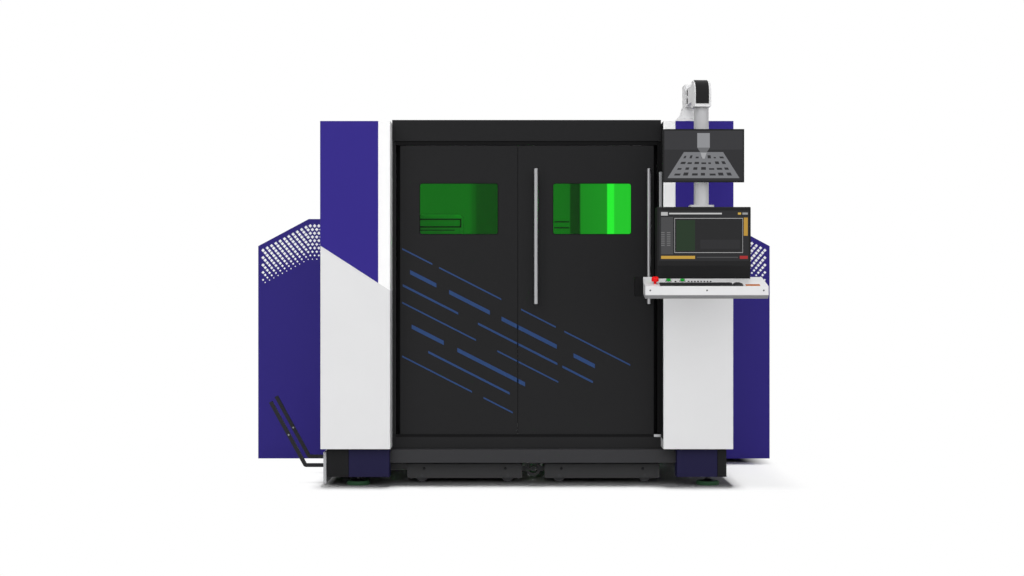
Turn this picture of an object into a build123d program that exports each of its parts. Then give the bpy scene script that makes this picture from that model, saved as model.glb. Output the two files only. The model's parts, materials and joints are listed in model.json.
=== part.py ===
from build123d import *
import os
from math import atan2, cos, radians, sin

# Laser cutting machine: a cabin between two front columns, with a bi-fold door, a control console on a
# swing arm, an equipment cabinet on each side and a pair of scrap carts that roll out to the left.
# Millimetres, X to the right, Y to the back, Z up, origin on the floor below the middle of the machine.

os.makedirs("parts", exist_ok=True)

# Clearances and sheet thicknesses that many pieces share
overrun = 5.0            # how far a cut reaches past a face
slide_gap = 0.4          # between faces that slide on each other
pin_gap = 0.05           # radial, between a pin and its hole
sheet = 3.0              # folded sheet-metal wall
thin_sheet = 2.0         # cladding sheet

# Cabin
cabin_width = 2540.0
cabin_depth = 3000.0
cabin_top = 2245.0
cabin_bottom = 227.0
roof_height = 23.0
front_reach = 600.0      # how far the control tray stands out in front of the columns
column_width = 430.0
column_depth = 700.0
column_edge = 6.0        # radius of the column's front edges
wall = 30.0              # side, rear and roof panels
seam = 8.0               # width of the groove between two panels
seam_depth = 4.0
seam_count = 3           # panels along each side
white_width = 74.0       # white part of each column front beside the coloured panel
purple_outer_drop = 766.0    # lower edge of the colour below the column top, at the outer edge
purple_inner_drop = 999.0    # and at its inner edge
louvre_length = 420.0
louvre_height = 14.0
louvre_pitch = 34.0
louvre_count = 10
louvre_drop = 260.0      # from the roof down to the first louvre
louvre_depth = 12.0      # the slots in the rear panel are blind
spigot_radius = 100.0
spigot_height = 90.0
spigot_flange = 30.0
spigot_back = 620.0      # from the rear face to the spigot's axis
spigot_side = 420.0      # right of the cabin's centre line

# Bed frame, legs and feet
skirt_left_width = 133.0
skirt_right_width = 55.0
leg_width = 252.0
leg_depth = 105.0
leg_setback = 40.0       # behind the column fronts
leg_bottom = 51.0
leg_edge = 6.0
mid_leg_gap = 100.0      # from the backs of the carts to the middle legs
beam_height = 96.0       # of the side beams
beam_wall = 8.0
beam_edge = 10.0
side_beam_end = 140.0    # from the rear face to the end of the side beams
front_beam_setback = 100.0
front_beam_depth = 100.0
front_beam_drop = 14.0   # top of the front and rear beams below the cabin
front_beam_chamfer = 14.0
skirt_inset = 36.0       # from the cabin's side to the skirt beside each leg
foot_out = 197.0         # from the inner face of a leg out to the middle of its foot
foot_radius = 70.5
foot_height = 22.0
foot_chamfer = 4.0
foot_cap_height = 14.0
foot_cap_radius = 46.0
stud_radius = 12.0
nut_radius = 19.0

# Door frame and tracks
door_setback = 147.0     # door front, behind the column fronts
door_gap = 19.0          # between the sill and the door
door_head = 29.0         # between the door and the lintel
lintel_setback = 140.0
lintel_depth = 160.0
lintel_height = 131.0
lintel_wall = 4.0
sill_depth = 93.0
sill_rise = 59.0         # top of the sill above the underside of the cabin
jamb_width = 22.0
jamb_setback = 152.0
jamb_depth = 88.0
track_width = 36.0
track_height = 38.0
track_wall = 4.0
track_slot = 14.0
bottom_track_height = 18.0

# Door leaves
leaf_depth = 38.0
leaf_left_gap = 50.0     # from the left column to the left leaf
leaf_right_gap = 45.0
fold_shift = -55.0       # fold line from the cabin's centre line
leaf_skin = 3.0
leaf_rim = 40.0          # width of the frame round the back of a leaf
leaf_gap = 4.0           # between the two leaves
pivot_inset = 25.0       # door pivot from the left edge of the left leaf
pivot_length = 18.0
window_side = 124.0      # from a window to the sides of the left leaf
window_height = 314.0
window_drop = 395.0      # from the top of the door to the middle of the windows
window_radius = 14.0
window_shifts = (0.0, 39.0)  # right of the middle of its leaf
pane_lap = 18.0
pane_depth = 6.0
handle_radius = 13.5
handle_length = 843.0
handle_drop = 568.5      # from the top of the door to the middle of the handles
handle_reach = 58.0      # bar centre in front of the door
handle_insets = (113.0, 34.0)    # from the fold line, and from the right edge of the right leaf
handle_post_radius = 8.0
handle_post_inset = 95.0
handle_edge = 3.0
knuckle_radius = 8.0
knuckle_gap = 0.6
knuckle_length = 70.0
hinge_pin_radius = 4.0
hinge_height_shares = (0.12, 0.385, 0.62, 0.918)

# Equipment cabinets
cabinet_left_width = 594.0
cabinet_right_width = 439.0
cabinet_setback = 1190.0
cabinet_back_gap = 310.0     # from the cabinets' backs to the cabin's rear
cabinet_bottom = 27.0
cabinet_eave = 1511.0    # height at the outer side
cabinet_top = 1700.0
cabinet_slope_share = 0.804  # part of the right cabinet's width over which the top slopes
cabinet_skid = 60.0
skid_setback = 240.0     # from the cabinets' fronts and backs to their skids
cabinet_door_depth = 24.0
cabinet_door_head = 101.0    # from the door's top up to the eave
cabinet_door_z = 110.0
cabinet_door_inset = 60.0    # from the cabinet's front to the door's edge
cabinet_pin_radius = 6.0
cabinet_ear = 20.0       # height of the ears that hold the hinge pins
cabinet_door_gap = 3.0
cabinet_opening_lap = 25.0
cabinet_pull_length = 130.0  # recessed pull in the cabinet's door
cabinet_pull_width = 36.0
cabinet_pull_depth = 12.0
cabinet_pull_inset = 70.0    # from the door's free edge to the middle of the pull
cabinet_louvre_inset = 100.0
cabinet_louvre_count = 12
plate_depth = 4.0
module_depth = 130.0
module_columns = 5
module_rows = 5
module_fill_share = 0.8
source_gap = 85.0        # between the laser source and the cabinet's outer wall
source_length_share = 0.6
source_height = 520.0
fin_count = 9
fin_depth = 40.0

# Gantry, table and rails
rail_beam_width = 140.0
rail_beam_inset = 52.0   # from the inner edge of the bed's side beam
rail_beam_top = 1000.0
rail_beam_front = 480.0  # behind the column fronts
rail_beam_back = 300.0   # from the rear face to the back of the rail beams
pocket_count = 4
pocket_width = 380.0
pocket_height = 420.0
pocket_depth = 40.0
pocket_radius = 40.0
rail_size = 25.0
slat_count = 14
slat_thick = 4.0
slat_height = 90.0
slat_top = 900.0
slat_teeth = 24
tooth_depth = 22.0
rack_width = 40.0
rack_height = 90.0
rack_gap = 40.0          # between the columns' backs and the racks
rack_back = 392.0        # from the backs of the rail beams to the backs of the racks
notch_depth = 50.0
gantry_setback = 1200.0
gantry_depth = 200.0
gantry_bottom = 1092.0
gantry_top = 1330.0
gantry_overhang = 70.0
truck_length = 330.0
truck_width = 110.0
gantry_wall = 10.0
guide_size = 20.0
guide_inset = 45.0
carriage_inset = 105.0   # left side of the cross carriage from the left column
carriage_width = 310.0
carriage_depth = 160.0
carriage_bottom = 1110.0
carriage_top = 1724.0
carriage_edge = 24.0
ram_size = 84.0
ram_bottom = 1055.0
ram_top = 1440.0
ram_pocket_top = 1560.0
head_radius = 44.0
head_height = 60.0
nozzle_height = 58.0
nozzle_tip_radius = 5.0
nozzle_root_share = 0.7

# Scrap carts and their pull frame
cart_setback = 170.0
cart_depth = 830.0
cart_side_gap = 97.0     # between the bed's legs and the pair of carts
cart_gap = 140.0         # between the two carts
cart_shift = 4.0         # the pair of carts stands this far right of the bed's middle
cart_bottom = 44.0
cart_drop = 15.0         # top of the carts below the side beams
cart_lip = 17.0          # front apron below the tray
cart_corner = 14.0       # radius of the corners of the carts' plates
wheel_radius = 44.0
wheel_width = 26.0
wheel_side = 91.5        # from a cart's side to its axle
wheel_inset = 24.0       # from the cart's front and back to its wheels
wheel_chamfer = 4.0
tub_inset = 60.0         # from the cart's plates to its tub
tub_bottom = 60.0
axle_radius = 9.0
hitch_radius = 46.0
hitch_hole_radius = 30.0
hitch_square = 30.0
hitch_web_share = 0.4
hitch_drop = 38.0        # middle of the hitch below the top of the carts
plate_thick = 18.0
plate_bottom = 8.0
plate_top = 200.0
plate_front = 60.0       # behind the column fronts
plate_length = 890.0
plate_inset = 11.0       # inside the cabin's side
draw_bar = 40.0
draw_bar_z = 70.0
arm_size = 22.0
arm_z = 107.0
arm_reaches = (128.0, 170.0)     # level part of the front and the back pull arm
arm_rise = 397.0
arm_spread = 218.0       # how far the rising part leans out
arm_fronts = (178.0, 640.0)
arm_bend = 12.0

# Console arm
arm_side = 260.0         # swivel on the column roof, from the cabin's right side
arm_setback = 90.0       # behind the column fronts
swing_length = 441.0
swing_turn = 2.1         # degrees from straight ahead, at rest
base_radius = 86.0
base_height = 86.0
base_flange = 16.0
base_neck = 50.0
swivel_pin = 30.0
swivel_depth = 44.0
bush_gap = 0.8           # radial, between the arm's pins and their bushes
joint_width = 76.0
joint_depth = 100.0
joint_height = 232.0     # top of the joint above the column
arm_tube_width = 66.0
arm_tube_height = 101.0
arm_tube_drop = 40.0
arm_slot_length = 60.0   # two recessed slots, one above the other, on each side of the arm
arm_slot_height = 36.0
arm_slot_depth = 4.0
arm_slot_gap = 14.0
arm_slot_reach = 122.0   # from the swivel to the middle of the slots
elbow_width = 98.0
elbow_depth = 124.0
elbow_bend = 84.0        # radius of the elbow's front upper corner
elbow_rim = 5.0
elbow_drop = 162.0       # height of the elbow
elbow_step = 33.0        # top of the elbow below the top of the joint
elbow_edge = 16.0
arm_edge = 10.0
cover_depth = 4.0
cover_width = 77.0
cover_shift = 4.0        # left of the middle of the elbow
cover_end = 8.0          # degrees short of the top
cover_height = 142.0
cover_drop = 2.0
tube_radius = 43.5
tube_flange_width = 142.0
tube_flange_depth = 96.0
tube_flange_height = 12.0

# Console, monitor and tray
monitor_width = 475.0
monitor_height = 310.0
monitor_depth = 34.0
monitor_height_share = 0.504     # middle of the monitor between the console and the elbow
monitor_edge = 10.0      # chamfer round the monitor's back
bracket_size = 120.0
bracket_depth = 22.0
console_width = 548.0
console_shift = 8.0      # right of the drop tube's axis
console_drop = 551.0     # top of the console below the column's top
console_height = 421.0
console_front = 60.0     # in front of the drop tube's axis
console_back = 70.0
console_chin = 76.0      # height of the part that leans back below the screen
console_chin_lean = 22.0
console_edge = 14.0
screen_margin = 22.0     # above the console's screen
screen_side = 12.0       # beside it
screen_height = 295.0
glass_depth = 4.0
monitor_margin = 9.0
tray_width = 706.0
tray_back = 40.0         # behind the drop tube's axis
tray_front_height = 53.0
tray_fall = 45.0         # from the console's foot down to the front edge
tray_run_on = 42.0       # how far the slope goes on beside the console
tray_bevel = 18.0
keyboard_width = 419.0
keyboard_depth = 78.0
keyboard_height = 13.0
keyboard_x = -57.5       # from the middle of the tray
keyboard_front = 5.0     # from the front edge of the tray
key_recess = 10.0
key_columns = 15
key_rows = 5
key_fill_share = 0.86
key_height = 3.0
mouse_width = 58.0
mouse_length = 78.0
mouse_height = 16.0
mouse_x = 184.0
estop_radius = 21.0
estop_height = 26.0
estop_x = -292.0
estop_lift = 16.0        # underside of the mushroom above the tray
estop_edge = 12.0        # radius of the mushroom's rim
estop_row = 62.0         # from the front edge of the tray to the stop button
button_radius = 13.0
button_height = 9.0
button_xs = (-208.0, -127.0)
button_lift = 5.0
stem_radius = 8.0
stem_depth = 18.0
stem_hole_depth = 26.0
button_row = 121.0       # from the front edge of the tray to the row of buttons

# Places worked out from the sizes
front_y = (front_reach - cabin_depth) / 2
rear_y = front_y + cabin_depth
cabin_x = (cabinet_left_width - cabinet_right_width) / 2
cabin_left = cabin_x - cabin_width / 2
cabin_right = cabin_x + cabin_width / 2
cabinet_span = cabin_width + cabinet_left_width + cabinet_right_width
bay_left = cabin_left + column_width
bay_right = cabin_right - column_width
bed_left = cabin_left + skirt_inset + skirt_left_width + leg_width
bed_right = cabin_right - skirt_inset - skirt_right_width - leg_width
bed_x = (bed_left + bed_right) / 2
bed_width = bed_right - bed_left
door_y = front_y + door_setback
leaf_mid_y = door_y + leaf_depth / 2
leaf_back_y = door_y + leaf_depth
roof_z = cabin_top + roof_height
purple_width = column_width - white_width
beam_bottom = cabin_bottom - beam_height
front_beam_top = cabin_bottom - front_beam_drop
sill_top = cabin_bottom + sill_rise
lintel_bottom = roof_z - lintel_height
door_bottom = sill_top + door_gap
door_top = lintel_bottom - door_head
door_height = door_top - door_bottom
leg_y = front_y + leg_setback
side_beam_y = leg_y + leg_depth
rear_beam_y = rear_y - side_beam_end


def front_plane(y):
    """Plane seen from the front at depth y: sketch axes along X and Z, extruding minus goes back."""
    return Plane.XZ.offset(-y)


def side_plane(x):
    """Plane seen from the right at x: sketch axes along Y and Z, extruding plus goes right."""
    return Plane.YZ.offset(x)


def block(x_ends, y_ends, z_ends, mode=Mode.ADD):
    """Rectangular block between two ends on each axis."""
    middle = ((x_ends[0] + x_ends[1]) / 2, (y_ends[0] + y_ends[1]) / 2, (z_ends[0] + z_ends[1]) / 2)
    with Locations(middle):
        Box(x_ends[1] - x_ends[0], y_ends[1] - y_ends[0], z_ends[1] - z_ends[0], mode=mode)


# Front legs: box-section steel legs under the columns
with BuildPart() as front_legs:
    for left in (bed_left - leg_width, bed_right):
        block((left, left + leg_width), (leg_y, leg_y + leg_depth), (leg_bottom, cabin_bottom))
    fillet(front_legs.edges().filter_by(Axis.Z), leg_edge)
front_legs.part.label = "front_legs"
export_step(front_legs.part, "parts/front_legs.step")

# Skirts: folded covers beside the legs, open to the back
with BuildPart() as leg_skirts:
    skirt_ends = (
        (cabin_left + skirt_inset, bed_left - leg_width),
        (bed_right + leg_width, cabin_right - skirt_inset),
    )
    for x_ends in skirt_ends:
        block(x_ends, (leg_y, leg_y + leg_depth), (leg_bottom, cabin_bottom))
        block(
            (x_ends[0] + sheet, x_ends[1] - sheet),
            (leg_y + sheet, leg_y + leg_depth + overrun),
            (leg_bottom - overrun, cabin_bottom - sheet),
            mode=Mode.SUBTRACT,
        )
leg_skirts.part.label = "leg_skirts"
export_step(leg_skirts.part, "parts/leg_skirts.step")

# Side beams: rectangular tubes that run from the front legs to the back of the bed
with BuildPart() as side_beams:
    for middle in (bed_left - leg_width / 2, bed_right + leg_width / 2):
        with BuildSketch(front_plane(side_beam_y)):
            with Locations((middle, (beam_bottom + cabin_bottom) / 2)):
                RectangleRounded(leg_width, cabin_bottom - beam_bottom, beam_edge)
                Rectangle(
                    leg_width - 2 * beam_wall,
                    cabin_bottom - beam_bottom - 2 * beam_wall,
                    mode=Mode.SUBTRACT,
                )
        extrude(amount=-(rear_beam_y - side_beam_y))
side_beams.part.label = "side_beams"
export_step(side_beams.part, "parts/side_beams.step")

# Front beam: a channel between the legs, its top corners cut off, open below
with BuildPart() as front_beam:
    beam_y = front_y + front_beam_setback
    with BuildSketch(front_plane(beam_y)) as beam_face:
        with Locations((bed_x, (beam_bottom + front_beam_top) / 2)):
            Rectangle(bed_width, front_beam_top - beam_bottom)
        chamfer(beam_face.vertices().group_by(Axis.Y)[-1], front_beam_chamfer)
    extrude(amount=-front_beam_depth)
    block(
        (bed_left + beam_wall, bed_right - beam_wall),
        (beam_y + beam_wall, beam_y + front_beam_depth - beam_wall),
        (beam_bottom - overrun, front_beam_top - beam_wall),
        mode=Mode.SUBTRACT,
    )
front_beam.part.label = "front_beam"
export_step(front_beam.part, "parts/front_beam.step")

# Rear beam: a channel between the side beams at the back
with BuildPart() as rear_beam:
    channel_ends = (rear_beam_y - front_beam_depth, rear_beam_y)
    block((bed_left, bed_right), channel_ends, (beam_bottom, front_beam_top))
    block(
        (bed_left + beam_wall, bed_right - beam_wall),
        (rear_beam_y - front_beam_depth + beam_wall, rear_beam_y - beam_wall),
        (beam_bottom - overrun, front_beam_top - beam_wall),
        mode=Mode.SUBTRACT,
    )
rear_beam.part.label = "rear_beam"
export_step(rear_beam.part, "parts/rear_beam.step")

# Inner legs: short legs under the side beams, at mid length and at the back
inner_leg_ys = (front_y + cart_setback + cart_depth + mid_leg_gap, rear_beam_y - leg_depth)
with BuildPart() as inner_legs:
    for leg_front in inner_leg_ys:
        for left in (bed_left - leg_width, bed_right):
            block((left, left + leg_width), (leg_front, leg_front + leg_depth), (leg_bottom, beam_bottom))
    fillet(inner_legs.edges().filter_by(Axis.Z), leg_edge)
inner_legs.part.label = "inner_legs"
export_step(inner_legs.part, "parts/inner_legs.step")

# Feet: anti-vibration pads with a steel cap, a stud and a lock nut under each leg
foot_places = [
    (bed_x + side * (bed_width / 2 + foot_out), y + leg_depth / 2)
    for y in (leg_y, *inner_leg_ys)
    for side in (-1, 1)
]
with BuildPart() as foot_pads:
    with Locations(*[(x, y, 0) for x, y in foot_places]):
        Cylinder(foot_radius, foot_height, align=(Align.CENTER, Align.CENTER, Align.MIN))
    chamfer(foot_pads.edges().filter_by(GeomType.CIRCLE).group_by(Axis.Z)[-1], foot_chamfer)
foot_pads.part.label = "foot_pads"
export_step(foot_pads.part, "parts/foot_pads.step")

with BuildPart() as foot_studs:
    with Locations(*[(x, y, foot_height) for x, y in foot_places]):
        Cone(foot_cap_radius, stud_radius, foot_cap_height, align=(Align.CENTER, Align.CENTER, Align.MIN))
        Cylinder(stud_radius, leg_bottom - foot_height, align=(Align.CENTER, Align.CENTER, Align.MIN))
    nut_z = foot_height + foot_cap_height
    with BuildSketch(Plane.XY.offset(nut_z + (leg_bottom - nut_z) / 2)):
        with Locations(*foot_places):
            RegularPolygon(nut_radius, 6)
    extrude(amount=(leg_bottom - nut_z) / 2)
foot_studs.part.label = "foot_studs"
export_step(foot_studs.part, "parts/foot_studs.step")

# Columns: folded covers at the cabin's front corners, open below and behind
column_names = ("column_left", "column_right")
for name, left in zip(column_names, (cabin_left, bay_right)):
    with BuildPart() as column:
        with BuildSketch(Plane.XY.offset(cabin_bottom)) as column_plan:
            with Locations((left + column_width / 2, front_y + column_depth / 2)):
                Rectangle(column_width, column_depth)
            fillet(column_plan.vertices().group_by(Axis.Y)[0], column_edge)
        extrude(amount=cabin_top - cabin_bottom)
        block(
            (left + sheet, left + column_width - sheet),
            (front_y + sheet, front_y + column_depth + overrun),
            (cabin_bottom - overrun, cabin_top - sheet),
            mode=Mode.SUBTRACT,
        )
    column.part.label = name
    export_step(column.part, f"parts/{name}.step")

# Column panels: coloured cladding round the outer front corner of each column, its lower edge sloping
with BuildPart() as column_panels:
    for outer, side in ((cabin_left, 1), (cabin_right, -1)):
        with BuildSketch(Plane.XY.offset(cabin_top)) as panel_plan:
            panel_x = outer + side * (purple_width - thin_sheet) / 2
            with Locations((panel_x, front_y + (column_depth - thin_sheet) / 2)):
                Rectangle(purple_width + thin_sheet, column_depth + thin_sheet)
            fillet(
                panel_plan.vertices().group_by(Axis.Y)[0].sort_by(Axis.X)[0 if side > 0 else -1],
                column_edge + thin_sheet,
            )
        extrude(amount=-purple_inner_drop)
        with BuildSketch(Plane.XY.offset(cabin_top + overrun)) as column_core:
            core_x = outer + side * (purple_width + overrun) / 2
            with Locations((core_x, front_y + (column_depth + overrun) / 2)):
                Rectangle(purple_width + overrun, column_depth + overrun)
            fillet(
                column_core.vertices().group_by(Axis.Y)[0].sort_by(Axis.X)[0 if side > 0 else -1],
                column_edge,
            )
        extrude(amount=-(purple_inner_drop + 2 * overrun), mode=Mode.SUBTRACT)
        with BuildSketch(front_plane(front_y - thin_sheet - overrun)):
            with BuildLine():
                Polyline(
                    (outer + side * (purple_width + overrun), cabin_top - purple_inner_drop),
                    (outer, cabin_top - purple_outer_drop),
                    (outer - side * (thin_sheet + overrun), cabin_top - purple_outer_drop),
                    (outer - side * (thin_sheet + overrun), cabin_top - purple_inner_drop - overrun),
                    (outer + side * (purple_width + overrun), cabin_top - purple_inner_drop - overrun),
                    close=True,
                )
            make_face()
        extrude(amount=-(column_depth + 2 * thin_sheet + 2 * overrun), mode=Mode.SUBTRACT)
column_panels.part.label = "column_panels"
export_step(column_panels.part, "parts/column_panels.step")

# Side panels: cabin walls behind the columns, with grooves where sheets meet
panel_y = front_y + column_depth
panel_length = cabin_depth - column_depth
for name, outer, side in (("side_panel_left", cabin_left, 1), ("side_panel_right", cabin_right, -1)):
    with BuildPart() as side_panel:
        x_ends = sorted((outer, outer + side * wall))
        block(x_ends, (panel_y, rear_y), (cabin_bottom, cabin_top))
        for index in range(1, seam_count):
            groove_y = panel_y + panel_length * index / seam_count
            block(
                sorted((outer - side * overrun, outer + side * seam_depth)),
                (groove_y - seam / 2, groove_y + seam / 2),
                (cabin_bottom - overrun, cabin_top + overrun),
                mode=Mode.SUBTRACT,
            )
    side_panel.part.label = name
    export_step(side_panel.part, f"parts/{name}.step")

# Rear panel: closes the back, with two fields of louvre slots
with BuildPart() as rear_panel:
    block((cabin_left + wall, cabin_right - wall), (rear_y - wall, rear_y), (cabin_bottom, cabin_top))
    with BuildSketch(front_plane(rear_y + overrun)):
        with Locations((cabin_x, cabin_top - louvre_drop - louvre_pitch * (louvre_count - 1) / 2)):
            with GridLocations(cabin_width / 2, louvre_pitch, 2, louvre_count):
                SlotOverall(louvre_length, louvre_height)
    extrude(amount=louvre_depth + overrun, mode=Mode.SUBTRACT)
rear_panel.part.label = "rear_panel"
export_step(rear_panel.part, "parts/rear_panel.step")

# Roof panel: lies on the columns and walls, with the hole for the exhaust
spigot_x = cabin_x + spigot_side
spigot_y = rear_y - spigot_back
roof_y = front_y + lintel_setback + lintel_depth
with BuildPart() as roof_panel:
    block((cabin_left, cabin_right), (roof_y, rear_y), (cabin_top, roof_z))
    with Locations((spigot_x, spigot_y, cabin_top)):
        Cylinder(spigot_radius - sheet, 4 * wall, mode=Mode.SUBTRACT)
    for index in range(1, seam_count):
        groove_y = roof_y + (rear_y - roof_y) * index / seam_count
        block(
            (cabin_left - overrun, cabin_right + overrun),
            (groove_y - seam / 2, groove_y + seam / 2),
            (roof_z - seam_depth, roof_z + overrun),
            mode=Mode.SUBTRACT,
        )
roof_panel.part.label = "roof_panel"
export_step(roof_panel.part, "parts/roof_panel.step")

# Exhaust spigot: a flanged collar on the roof for the extraction hose
with BuildPart() as exhaust_spigot:
    with BuildSketch(Plane.XY.offset(roof_z)):
        with Locations((spigot_x, spigot_y)):
            Circle(spigot_radius + spigot_flange)
            Circle(spigot_radius - sheet, mode=Mode.SUBTRACT)
    extrude(amount=sheet)
    with BuildSketch(Plane.XY.offset(roof_z)):
        with Locations((spigot_x, spigot_y)):
            Circle(spigot_radius)
            Circle(spigot_radius - sheet, mode=Mode.SUBTRACT)
    extrude(amount=spigot_height)
exhaust_spigot.part.label = "exhaust_spigot"
export_step(exhaust_spigot.part, "parts/exhaust_spigot.step")

# Lintel: an upturned channel across the front between the columns
lintel_y = front_y + lintel_setback
with BuildPart() as lintel:
    block((bay_left, bay_right), (lintel_y, lintel_y + lintel_depth), (lintel_bottom, roof_z))
    block(
        (bay_left - overrun, bay_right + overrun),
        (lintel_y + lintel_wall, lintel_y + lintel_depth - lintel_wall),
        (lintel_bottom - overrun, roof_z - lintel_wall),
        mode=Mode.SUBTRACT,
    )
lintel.part.label = "lintel"
export_step(lintel.part, "parts/lintel.step")

# Sill: a channel on the front beam below the door
sill_y = front_y + door_setback
with BuildPart() as sill:
    block((bay_left, bay_right), (sill_y, sill_y + sill_depth), (front_beam_top, sill_top))
    block(
        (bay_left + sheet, bay_right - sheet),
        (sill_y + sheet, sill_y + sill_depth - sheet),
        (front_beam_top - overrun, sill_top - sheet),
        mode=Mode.SUBTRACT,
    )
sill.part.label = "sill"
export_step(sill.part, "parts/sill.step")

# Door jambs: posts on the sill beside the columns
jamb_y = front_y + jamb_setback
with BuildPart() as door_jambs:
    for x_ends in ((bay_left, bay_left + jamb_width), (bay_right - jamb_width, bay_right)):
        block(x_ends, (jamb_y, jamb_y + jamb_depth), (sill_top, lintel_bottom))
door_jambs.part.label = "door_jambs"
export_step(door_jambs.part, "parts/door_jambs.step")

# Tracks: slotted rails above and below the door that guide its pivots
track_ends = (bay_left + jamb_width, bay_right - jamb_width)
top_track_z = door_top + track_wall
with BuildPart() as top_track:
    with BuildSketch(side_plane(track_ends[0])):
        with Locations((leaf_mid_y, top_track_z + track_height / 2)):
            Rectangle(track_width, track_height)
            Rectangle(track_width - 2 * track_wall, track_height - 2 * track_wall, mode=Mode.SUBTRACT)
        with Locations((leaf_mid_y, top_track_z)):
            Rectangle(track_slot, 3 * track_wall, mode=Mode.SUBTRACT)
    extrude(amount=track_ends[1] - track_ends[0])
top_track.part.label = "top_track"
export_step(top_track.part, "parts/top_track.step")

with BuildPart() as bottom_track:
    with BuildSketch(side_plane(track_ends[0])):
        with Locations((leaf_mid_y, sill_top + bottom_track_height / 2)):
            Rectangle(track_width, bottom_track_height)
        with Locations((leaf_mid_y, sill_top + track_wall + bottom_track_height / 2)):
            Rectangle(track_slot, bottom_track_height, mode=Mode.SUBTRACT)
    extrude(amount=track_ends[1] - track_ends[0])
bottom_track.part.label = "bottom_track"
export_step(bottom_track.part, "parts/bottom_track.step")

# Door leaves: folded pans with a rim round the back, a window, pivots and the knuckles of the fold hinge
leaf_left = bay_left + leaf_left_gap
leaf_right = bay_right - leaf_right_gap
fold_x = cabin_x + fold_shift
pivot_x = leaf_left + pivot_inset
guide_x = 2 * fold_x - pivot_x
pivot_radius = track_slot / 2 - pin_gap
foot_pivot_length = door_bottom - sill_top - track_wall - slide_gap
left_leaf_ends = (leaf_left, fold_x - leaf_gap / 2)
right_leaf_ends = (fold_x + leaf_gap / 2, leaf_right)
window_xs = [sum(ends) / 2 + shift for ends, shift in zip((left_leaf_ends, right_leaf_ends), window_shifts)]
window_z = door_top - window_drop
window_width = left_leaf_ends[1] - left_leaf_ends[0] - 2 * window_side
hinge_zs = [door_bottom + door_height * share for share in hinge_height_shares]
leaf_plan = (
    ("left_leaf", *left_leaf_ends, window_xs[0], pivot_x),
    ("right_leaf", *right_leaf_ends, window_xs[1], guide_x),
)
for name, left, right, window_x, pin_x in leaf_plan:
    with BuildPart() as leaf:
        block((left, right), (door_y, leaf_back_y), (door_bottom, door_top))
        block(
            (left + leaf_rim, right - leaf_rim),
            (door_y + leaf_skin, leaf_back_y + overrun),
            (door_bottom + leaf_rim, door_top - leaf_rim),
            mode=Mode.SUBTRACT,
        )
        with BuildSketch(front_plane(door_y - overrun)):
            with Locations((window_x, window_z)):
                RectangleRounded(window_width, window_height, window_radius)
        extrude(amount=-(leaf_skin + 2 * overrun), mode=Mode.SUBTRACT)
        with Locations((pin_x, leaf_mid_y, door_top)):
            Cylinder(pivot_radius, pivot_length, align=(Align.CENTER, Align.CENTER, Align.MIN))
        with Locations((pin_x, leaf_mid_y, door_bottom)):
            Cylinder(pivot_radius, foot_pivot_length, align=(Align.CENTER, Align.CENTER, Align.MAX))
        own = 1 if name == "right_leaf" else 0
        for hinge_z in hinge_zs:
            for step in (-1, 0, 1):
                mine = (step == 0) == bool(own)
                with Locations((fold_x, leaf_back_y, hinge_z + step * knuckle_length)):
                    if mine:
                        Cylinder(knuckle_radius, knuckle_length - knuckle_gap)
                    else:
                        Cylinder(
                            knuckle_radius + knuckle_gap,
                            knuckle_length + knuckle_gap,
                            mode=Mode.SUBTRACT,
                        )
            with Locations((fold_x, leaf_back_y, hinge_z)):
                if own:
                    Cylinder(hinge_pin_radius + pin_gap, 4 * knuckle_length, mode=Mode.SUBTRACT)
                else:
                    Cylinder(hinge_pin_radius, 3 * knuckle_length - knuckle_gap)
    leaf.part.label = name
    export_step(leaf.part, f"parts/{name}.step")

# Windows: green safety panes behind the openings in the door's skin
for name, window_x in zip(("left_window", "right_window"), window_xs):
    with BuildPart() as window:
        with BuildSketch(front_plane(door_y + leaf_skin)):
            with Locations((window_x, window_z)):
                RectangleRounded(window_width + 2 * pane_lap, window_height + 2 * pane_lap, window_radius)
        extrude(amount=-pane_depth)
    window.part.label = name
    export_step(window.part, f"parts/{name}.step")

# Door handles: upright bars on two posts each
handle_xs = (fold_x + handle_insets[0], leaf_right - handle_insets[1])
handle_z = door_top - handle_drop
with BuildPart() as door_handles:
    for x in handle_xs:
        with Locations((x, door_y - handle_reach, handle_z)):
            Cylinder(handle_radius, handle_length)
    fillet(door_handles.edges().filter_by(GeomType.CIRCLE), handle_edge)
    with BuildSketch(front_plane(door_y)):
        for x in handle_xs:
            for side in (-1, 1):
                with Locations((x, handle_z + side * (handle_length / 2 - handle_post_inset))):
                    Circle(handle_post_radius)
    extrude(amount=handle_reach)
door_handles.part.label = "door_handles"
export_step(door_handles.part, "parts/door_handles.step")

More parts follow.
